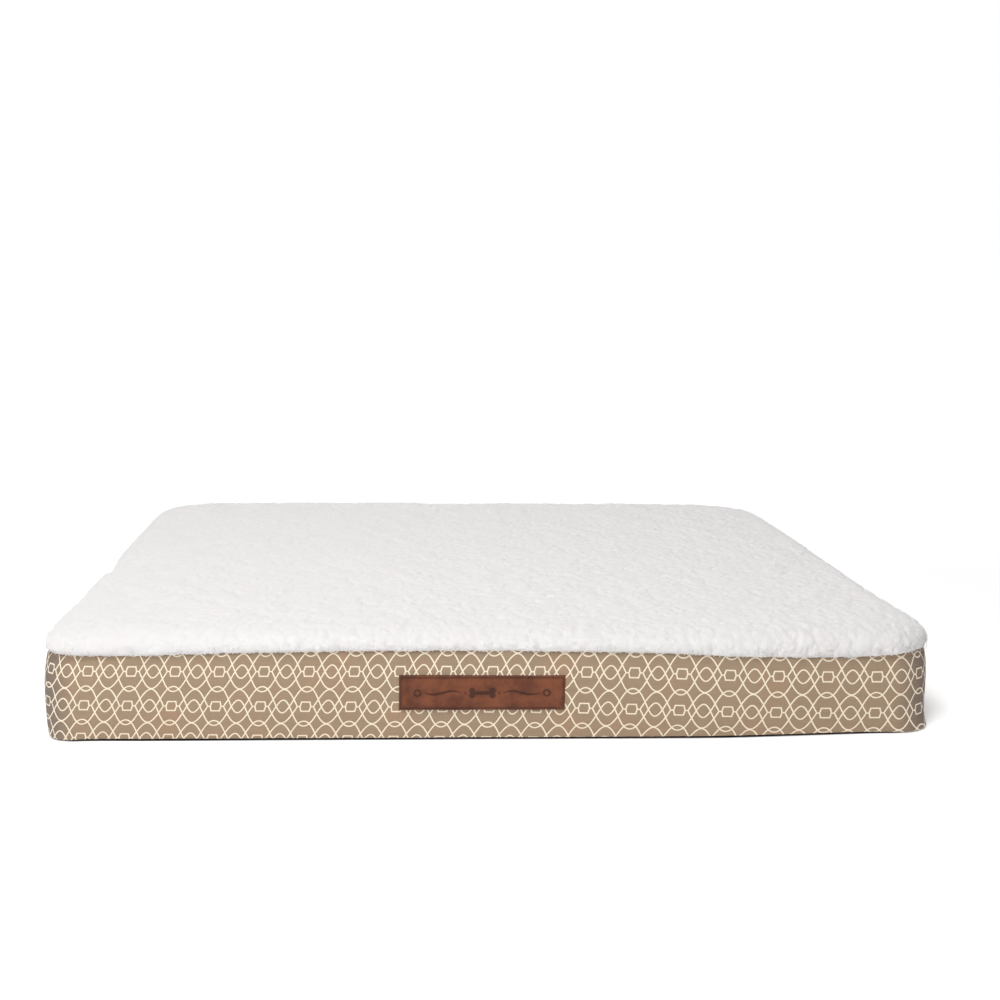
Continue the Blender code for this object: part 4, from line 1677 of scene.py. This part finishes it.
@dataclass(frozen=True)
class LeatherLabel:
    """The stitched leather patch, pressed with a plain bone, two dots, two waves and two rings."""

    wall: PrintedWall
    step: float = 0.5 * MM
    bevel: float = 0.7 * MM
    stitch_inset: float = 2.3 * MM
    lift: float = 4.9 * MM
    drawn_in: float = 1.1 * MM
    groove_half: float = 0.7 * MM
    groove_depth: float = 0.32 * MM
    mark_depth: float = 0.38 * MM
    bone_half: float = 9 * MM
    dot_x: float = 17.5 * MM
    wave_start: float = 21 * MM
    wave_length: float = 40 * MM
    ring_x: float = 66.5 * MM
    ring_radius: float = 3.2 * MM
    ring_half: float = 0.9 * MM

    def pressed(self, x: np.ndarray, z: np.ndarray) -> np.ndarray:
        """How deep the pressed mark is at each point of the patch, from 0 to 1."""
        shaft = near_segment(x, z, (-self.bone_half, 0.0), (self.bone_half, 0.0)) - 2.0 * MM
        mark = shaft
        for side in (-1, 1):
            for up in (-1, 1):
                knob = np.hypot(x - side * 10.5 * MM, z - up * 2.6 * MM) - 3.1 * MM
                mark = np.minimum(mark, knob)
        reach = np.clip((np.abs(x) - self.wave_start) / self.wave_length, 0.0, 1.0)
        middle = 2.4 * MM * np.sin(reach * math.tau) * (1.0 - 0.5 * reach)
        width = 1.3 * MM * np.sin(np.pi * reach) ** 0.7 + 0.05 * MM
        flourish = np.abs(z - middle) - width
        flourish = np.where((reach > 0.0) & (reach < 1.0), flourish, 1.0)
        small = np.hypot(np.abs(x) - self.dot_x, z) - 1.0 * MM
        large = np.hypot(np.abs(x) - self.ring_x, z) - self.ring_radius
        dots = np.minimum(small, np.abs(large) - self.ring_half)
        mark = np.minimum(np.minimum(mark, flourish), dots)
        return np.clip(0.5 - mark / (0.5 * MM), 0.0, 1.0)

    def make(self) -> list[bpy.types.Object]:
        """Build the patch and its stitching on the wall's front."""
        low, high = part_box("label_patch")
        middle_x = (low.x + high.x) / 2 - self.drawn_in
        middle_z = (low.z + high.z) / 2 + self.lift
        half_x = (high.x - low.x) / 2 - self.drawn_in
        half_z = (high.z - low.z) / 2
        thick = high.y - low.y
        nx, nz = int(2 * half_x / self.step) + 1, int(2 * half_z / self.step) + 1
        gx, gz = np.meshgrid(np.linspace(-half_x, half_x, nx), np.linspace(-half_z, half_z, nz))
        gx, gz = gx.ravel(), gz.ravel()
        inside = np.minimum(half_x - np.abs(gx), half_z - np.abs(gz))
        round_in = np.clip(inside / self.bevel, 0.0, 1.0)
        proud = thick * (0.45 + 0.55 * np.sqrt(1.0 - (1.0 - round_in) ** 2))
        groove = np.exp(-(((inside - self.stitch_inset) / self.groove_half) ** 2))
        mark = self.pressed(gx, gz)
        bow = 0.35 * MM * smooth_noise(np.stack([gx, gz, gx * 0], axis=1), 0.03, 4.2)
        proud = proud - self.groove_depth * groove - self.mark_depth * mark + bow * round_in
        wobble = 0.35 * MM * smooth_noise(np.stack([gx, gz, gx * 0], axis=1), 0.02, 8.8) * np.exp(
            -inside / (3 * MM)
        )
        pull = np.where(np.abs(gx) > half_x - 2.0 * MM, 0.25 * MM, 0.0) * np.sign(gx)
        where = self.wall.front_point(gx + middle_x - pull + wobble, gz + middle_z + wobble)
        face = where + np.stack([gx * 0, -proud, gx * 0], axis=1)
        edge = grid_edge(nz, nx)
        count, total = len(edge), len(face)
        behind = where[edge] + [0.0, 0.4 * MM, 0.0]
        faces = grid_faces(nz, nx).tolist()
        for i in range(count):
            j = (i + 1) % count
            faces.append([int(edge[j]), int(edge[i]), total + i, total + j])
        faces.append(list(range(total, total + count))[::-1])
        patch = link_mesh("leather_label", np.concatenate([face, behind]), faces, LEATHER)
        rim = np.clip(1.0 - inside / (0.9 * MM), 0.0, 1.0) ** 1.5
        add_number(patch, "edge", np.concatenate([rim + groove * 0.10, np.ones(count)]))
        add_number(patch, "pressed", np.concatenate([mark, np.zeros(count)]))
        place_piece(patch, Body.BED, "label_leather", "label_patch")

        in_x, in_z = half_x - self.stitch_inset, half_z - self.stitch_inset
        corners = [(-in_x, -in_z), (in_x, -in_z), (in_x, in_z), (-in_x, in_z), (-in_x, -in_z)]
        path_x, path_z = [], []
        for (x0, z0), (x1, z1) in zip(corners, corners[1:]):
            steps = int(max(abs(x1 - x0), abs(z1 - z0)) / (2 * MM))
            path_x.extend(np.linspace(x0, x1, steps, endpoint=False))
            path_z.extend(np.linspace(z0, z1, steps, endpoint=False))
        path = self.wall.front_point(np.array(path_x) + middle_x, np.array(path_z) + middle_z)
        path[:, 1] -= thick - 0.15 * MM
        stitches = sew(
            "label_stitches",
            path,
            DARK_THREAD,
            closed=True,
            Pitch=3.1 * MM,
            Length=2.0 * MM,
            Radius=0.52 * MM,
        )
        place_piece(stitches, Body.BED, "dark_thread", "label_thread")
        return [patch, stitches]


# ---- The sewing --------------------------------------------------------------------------------

STITCHES = stitch_rule()


def sew(
    name: str, path: np.ndarray, finish: Finish, closed: bool = False, **sizes: object
) -> bpy.types.Object:
    """Sew a row of stitches along a path of points."""
    count = len(path)
    edges = [(i, i + 1) for i in range(count - 1)]
    if closed:
        edges.append((count - 1, 0))
    mesh = bpy.data.meshes.new(name + "_path")
    mesh.from_pydata(path.tolist(), edges, [])
    host = bpy.data.objects.new(name + "_path", mesh)
    bpy.context.scene.collection.objects.link(host)
    return STITCHES.make(name, host, finish, **sizes)


@dataclass(frozen=True)
class Seams:
    """The seams that hold the cover together, and the care label caught in one."""

    form: CoverForm

    def make(self) -> list[bpy.types.Object]:
        """Sew the top, the base, the back and the rows beside the zip."""
        pieces = []
        outline = walk_outline(self.form, 6 * MM)
        seam = self.form.seam_height(outline.x, outline.y)
        flat = np.stack(
            [outline.x - outline.normal_x * MM, outline.y - outline.normal_y * MM, seam], axis=1
        )[:-1]
        top = self.form.settle(flat, np.ones(len(flat)))
        pieces.append(
            self.row(
                "top_seam_stitches",
                top,
                TAN_THREAD,
                "tan_thread",
                "top_seam_thread",
                (0.0, 0.0, 1.0),
                True,
            ),
        )
        low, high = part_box("bottom_seam_thread")
        inset = self.form.half_x - high.x
        flat = np.stack([
            outline.x - outline.normal_x * inset, outline.y - outline.normal_y * inset, outline.x * 0
        ], axis=1)[:-1]
        flat[:, 2] = high.z + 0.6 * MM
        pieces.append(
            self.row(
                "base_seam_stitches",
                flat,
                DARK_THREAD,
                "dark_thread",
                "bottom_seam_thread",
                (0.0, 0.0, 1.0),
                True,
            ),
        )
        for node in ("zip_topstitch_upper", "zip_topstitch_lower"):
            low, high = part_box(node)
            xs = np.linspace(low.x, high.x, 80)
            path = np.stack(
                [xs, xs * 0 + self.form.half_y + 0.12 * MM, xs * 0 + (low.z + high.z) / 2], axis=1
            )
            pieces.append(
                self.row(
                    node.replace("zip_", "") + "_row",
                    path,
                    TAN_THREAD,
                    "tan_thread",
                    node,
                    (0.0, 1.0, 0.0),
                    False,
                ),
            )
        for node in ("back_seam_thread_left", "back_seam_thread_right"):
            low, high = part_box(node)
            zs = np.linspace(low.z, high.z, 30)
            path = np.stack(
                [zs * 0 + (low.x + high.x) / 2, zs * 0 + self.form.half_y - 0.2 * MM, zs], axis=1
            )
            pieces.append(
                self.row(
                    node.replace("_thread", "_stitches"),
                    path,
                    TAN_THREAD,
                    "tan_thread",
                    node,
                    (0.0, 1.0, 0.0),
                    False,
                ),
            )
        pieces.append(self.care_label())
        return pieces

    def row(
        self,
        name: str,
        path: np.ndarray,
        finish: Finish,
        slot: str,
        node: str,
        outward: tuple[float, float, float],
        closed: bool,
    ) -> bpy.types.Object:
        """Sew one row and hand it to the frame."""
        piece = sew(
            name,
            path,
            finish,
            closed,
            Pitch=3.2 * MM,
            Length=2.6 * MM,
            Radius=0.24 * MM,
            Outward=outward,
        )
        return place_piece(piece, Body.BED, slot, node)

    def care_label(self) -> bpy.types.Object:
        """A blank satin loop, folded at its lower end and caught in the seam above the hem."""
        low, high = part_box("care_label")
        along = np.linspace(0.0, 1.0, 22)
        tall = high.z - low.z
        curl = 1.6 * MM * np.sin(np.pi * along) ** 2
        front = np.stack([high.y + 0.2 * MM + curl, high.z - tall * along], axis=1)
        back = np.stack([low.y + 0.1 * MM + curl * 0.4, high.z - tall * along], axis=1)[::-1]
        loop = np.concatenate([front, back])
        xs = np.linspace(low.x, high.x, 16)
        points = np.concatenate(
            [np.stack([xs, np.full_like(xs, y), np.full_like(xs, z)], axis=1) for y, z in loop]
        )
        piece = link_mesh("care_label_loop", points, grid_faces(len(loop), len(xs)), SATIN)
        thicken(piece, 0.25 * MM)
        place_piece(piece, Body.BED, "satin_label", "care_label")
        return piece


# ---- The zip -----------------------------------------------------------------------------------


@dataclass(frozen=True)
class Zip:
    """The chain, its stops and tacks, and the slider with its pull."""

    form: CoverForm
    pitch: float = 1.30 * MM
    wire: float = 0.31 * MM
    mesh_over: float = 0.22 * MM
    tape_gap: float = 0.25 * MM

    def tapes(self) -> list[bpy.types.Object]:
        """Both woven tapes, with their near edges almost meeting."""
        pieces = []
        middle = (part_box("zipper_tape_upper")[0].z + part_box("zipper_tape_lower")[1].z) / 2
        for node, side in (("zipper_tape_upper", 1), ("zipper_tape_lower", -1)):
            low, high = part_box(node)
            far = max(abs(low.z - middle), abs(high.z - middle))
            heights = np.concatenate([[self.tape_gap], np.linspace(1.2 * MM, far, 7)]) * side + middle
            xs = np.linspace(low.x, high.x, 180)
            gx, gz = np.meshgrid(xs, heights if side > 0 else heights[::-1])
            ripple = 0.08 * MM * np.sin(gx * 180.0)
            points = np.stack([gx, np.full_like(gx, high.y) + ripple, gz], axis=2).reshape(-1, 3)
            faces = grid_faces(len(heights), len(xs))[:, ::-1]
            piece = link_mesh(node.replace("zipper_", "zip_") + "_cloth", points, faces, ZIP_TAPE)
            add_uv(piece, "cloth", np.stack([gx.ravel(), gz.ravel()], axis=1))
            thicken(piece, high.y - low.y)
            place_piece(piece, Body.BED, "zip_tape", node)
            pieces.append(piece)
        return pieces

    def coils(self) -> list[bpy.types.Object]:
        """Both coils, wound by rule and meshed half a pitch apart."""
        rule = coil_rule()
        pieces = []
        middle = (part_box("zipper_coil_upper")[0].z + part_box("zipper_coil_lower")[1].z) / 2
        for node, side in (("zipper_coil_upper", 1), ("zipper_coil_lower", -1)):
            low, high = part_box(node)
            far = max(abs(low.z - middle), abs(high.z - middle))
            near = -self.mesh_over
            wide = (far - near) / 2 - self.wire
            start_x = low.x + self.wire + (0.0 if side > 0 else self.pitch / 2)
            turns = math.floor((high.x - low.x - 3 * self.wire) / self.pitch)
            sizes = {
                "Turns": float(turns),
                "Run": turns * self.pitch,
                "Deep": (high.y - low.y) / 2 - self.wire,
                "Wide": wide,
                "Wire": self.wire,
                "Start": (start_x, (low.y + high.y) / 2, middle + side * (far + near) / 2),
            }
            seed = link_mesh(node + "_seed", np.zeros((3, 3)), [[0, 1, 2]], NYLON)
            piece = rule.make(node.replace("zipper_", "zip_") + "_wire", seed, NYLON, **sizes)
            place_piece(piece, Body.BED, "zip_coil", node)
            pieces.append(piece)
        return pieces

    def refined(
        self,
        name: str,
        node: str,
        body: Body,
        bevel: float,
        slot: str = "zip_metal",
        finish: Finish = BRASS,
    ) -> bpy.types.Object:
        """A copy of a packed metal piece, with its edges rounded."""
        bm = bmesh.new()
        bm.from_mesh(frame["nodes"][node].data)
        bmesh.ops.remove_doubles(bm, verts=bm.verts, dist=0.01 * MM)
        bmesh.ops.dissolve_limit(bm, angle_limit=math.radians(2), verts=bm.verts, edges=bm.edges)
        sharp = [
            edge for edge in bm.edges if edge.is_manifold and edge.calc_face_angle(0.0) > math.radians(
                28
            )
        ]
        bmesh.ops.bevel(
            bm, geom=sharp, offset=bevel, segments=3, profile=0.5, affect="EDGES", clamp_overlap=True
        )
        bmesh.ops.triangulate(bm, faces=[face for face in bm.faces if len(face.verts) > 4])
        bmesh.ops.recalc_face_normals(bm, faces=bm.faces)
        mesh = bpy.data.meshes.new(name)
        bm.to_mesh(mesh)
        bm.free()
        mesh.shade_smooth()
        mesh.set_sharp_from_angle(angle=math.radians(35))
        mesh.materials.append(finish.material())
        piece = bpy.data.objects.new(name, mesh)
        bpy.context.scene.collection.objects.link(piece)
        return place_piece(piece, body, slot, node)

    def make(self) -> list[bpy.types.Object]:
        """Build the whole zip."""
        pieces = [*self.tapes(), *self.coils()]
        hardware = (
            ("zip_slider", "zipper_slider_body", Body.SLIDER, 0.22 * MM),
            ("zip_slider_cap", "zipper_slider_cap", Body.SLIDER, 0.20 * MM),
            ("zip_pull", "zipper_pull_tab", Body.PULL, 0.24 * MM),
            ("zip_top_stop_upper", "zipper_top_stop_upper", Body.BED, 0.35 * MM),
            ("zip_top_stop_lower", "zipper_top_stop_lower", Body.BED, 0.35 * MM),
            ("zip_bottom_stop", "zipper_bottom_stop", Body.BED, 0.35 * MM),
        )
        for name, node, body, bevel in hardware:
            pieces.append(self.refined(name, node, body, bevel))
        for node in ("bar_tack_left", "bar_tack_right"):
            low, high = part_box(node)
            zs = np.linspace(low.z, high.z, 30)
            path = np.stack([zs * 0 + (low.x + high.x) / 2, zs * 0 + low.y + 0.3 * MM, zs], axis=1)
            sizes = {"Pitch": 0.45 * MM, "Length": high.x - low.x, "Radius": 0.22 * MM}
            piece = tack(node + "_stitches", path, sizes)
            pieces.append(place_piece(piece, Body.BED, "tan_thread", node))
        return pieces


def tack(name: str, path: np.ndarray, sizes: dict[str, float]) -> bpy.types.Object:
    """A bar tack: close stitches that cross the path."""
    bars = []
    steps = int(np.linalg.norm(path[-1] - path[0]) / sizes["Pitch"])
    for i in range(steps):
        middle = path[0] + (path[-1] - path[0]) * (i + 0.5) / steps
        half = np.array([sizes["Length"] / 2 - sizes["Radius"], 0.0, 0.0])
        bars.append(
            sew(
                f"{name}_{i}",
                np.stack([middle - half, middle + half]),
                TAN_THREAD,
                Pitch=1.0,
                Length=2 * half[0],
                Radius=sizes["Radius"],
                Outward=(0.0, 1.0, 0.0),
            ),
        )
    bm = bmesh.new()
    for bar in bars:
        bm.from_mesh(bar.data)
        bpy.data.objects.remove(bar, do_unlink=True)
    mesh = bpy.data.meshes.new(name)
    bm.to_mesh(mesh)
    bm.free()
    mesh.shade_smooth()
    mesh.materials.append(TAN_THREAD.material())
    piece = bpy.data.objects.new(name, mesh)
    bpy.context.scene.collection.objects.link(piece)
    return piece


# ---- The studio --------------------------------------------------------------------------------


@dataclass(frozen=True)
class Studio:
    """A pale floor, soft lights and the camera."""

    eye: tuple[float, float, float] = (-0.117, -1.546, 0.487)
    yaw: float = -5.36
    pitch: float = 10.97
    roll: float = 1.21
    lens: float = 44.04
    floor_half: float = 9.0

    def floor(self) -> None:
        """A large pale sheet of paper."""
        half = self.floor_half
        corners = np.array(
            [(-half, -half, 0.0), (half, -half, 0.0), (half, half, 0.0), (-half, half, 0.0)]
        )
        sheet = link_mesh("studio_floor", corners - [0.0, 0.0, 0.2 * MM], [[0, 1, 2, 3]], PAPER)

    def softbox(
        self, name: str, place: tuple[float, float, float], size: tuple[float, float], power: float
    ) -> None:
        """An area light that faces the bed."""
        data = bpy.data.lights.new(name, "AREA")
        data.shape = "RECTANGLE"
        data.size, data.size_y = size
        data.energy = power
        lamp = bpy.data.objects.new(name, data)
        lamp.location = place
        lamp.rotation_euler = (Vector((0.0, 0.0, 0.05)) - Vector(place)).to_track_quat("-Z", "Y").to_euler()
        bpy.context.scene.collection.objects.link(lamp)

    def world(self) -> None:
        """A white surround, dimmer as a light than as a backdrop."""
        world = bpy.data.worlds.new("studio_world")
        world.use_nodes = True
        bpy.context.scene.world = world
        graph = Graph(world.node_tree)
        world.node_tree.nodes.clear()
        seen = graph.value("ShaderNodeLightPath", output="Is Camera Ray")
        dim = graph.value("ShaderNodeBackground", {0: (1.0, 1.0, 1.0, 1.0), 1: 0.15})
        bright = graph.value("ShaderNodeBackground", {0: (1.0, 1.0, 1.0, 1.0), 1: 1.0})
        mixed = graph.value("ShaderNodeMixShader", {0: seen, 1: dim, 2: bright})
        graph.node("ShaderNodeOutputWorld", {0: mixed})

    def camera(self) -> None:
        """Place the camera by its yaw, pitch and roll."""
        yaw, pitch, roll = (math.radians(angle) for angle in (self.yaw, self.pitch, self.roll))
        forward = Vector(
            (-math.sin(yaw) * math.cos(pitch), math.cos(yaw) * math.cos(pitch), -math.sin(pitch))
        )
        right = Vector((math.cos(yaw), math.sin(yaw), 0.0))
        up = right.cross(forward)
        rolled = right * math.cos(roll) + up * math.sin(roll)
        risen = up * math.cos(roll) - right * math.sin(roll)
        data = bpy.data.cameras.new("camera")
        data.lens = self.lens
        data.sensor_width = 36.0
        data.clip_end = 100.0
        camera = bpy.data.objects.new("camera", data)
        turn = Matrix((rolled, risen, -forward)).transposed().to_4x4()
        camera.matrix_world = Matrix.Translation(Vector(self.eye)) @ turn
        bpy.context.scene.collection.objects.link(camera)
        bpy.context.scene.camera = camera

    def make(self) -> None:
        """Set the studio up."""
        self.floor()
        self.softbox("key_light", (-0.74, -1.40, 2.55), (1.0, 1.6), 70.5)
        self.softbox("rear_light", (0.3, 3.4, 2.4), (1.6, 2.0), 54.0)
        self.world()
        self.camera()
        bpy.context.scene.view_settings.view_transform = "Standard"


def main() -> None:
    """Build every sub-assembly, in order, and report each piece."""
    logging.basicConfig(level=logging.INFO, format="%(name)s %(message)s")
    Studio().make()
    form = CoverForm.from_frame()
    wall = PrintedWall(form, PrintLayout(form))
    groups = (
        FleeceTop(form),
        wall,
        BaseCloth(form),
        FoamCore(form),
        LeatherLabel(wall),
        Seams(form),
        Zip(form),
    )
    for group in groups:
        group.make()


if __name__ == "__main__":
    main()
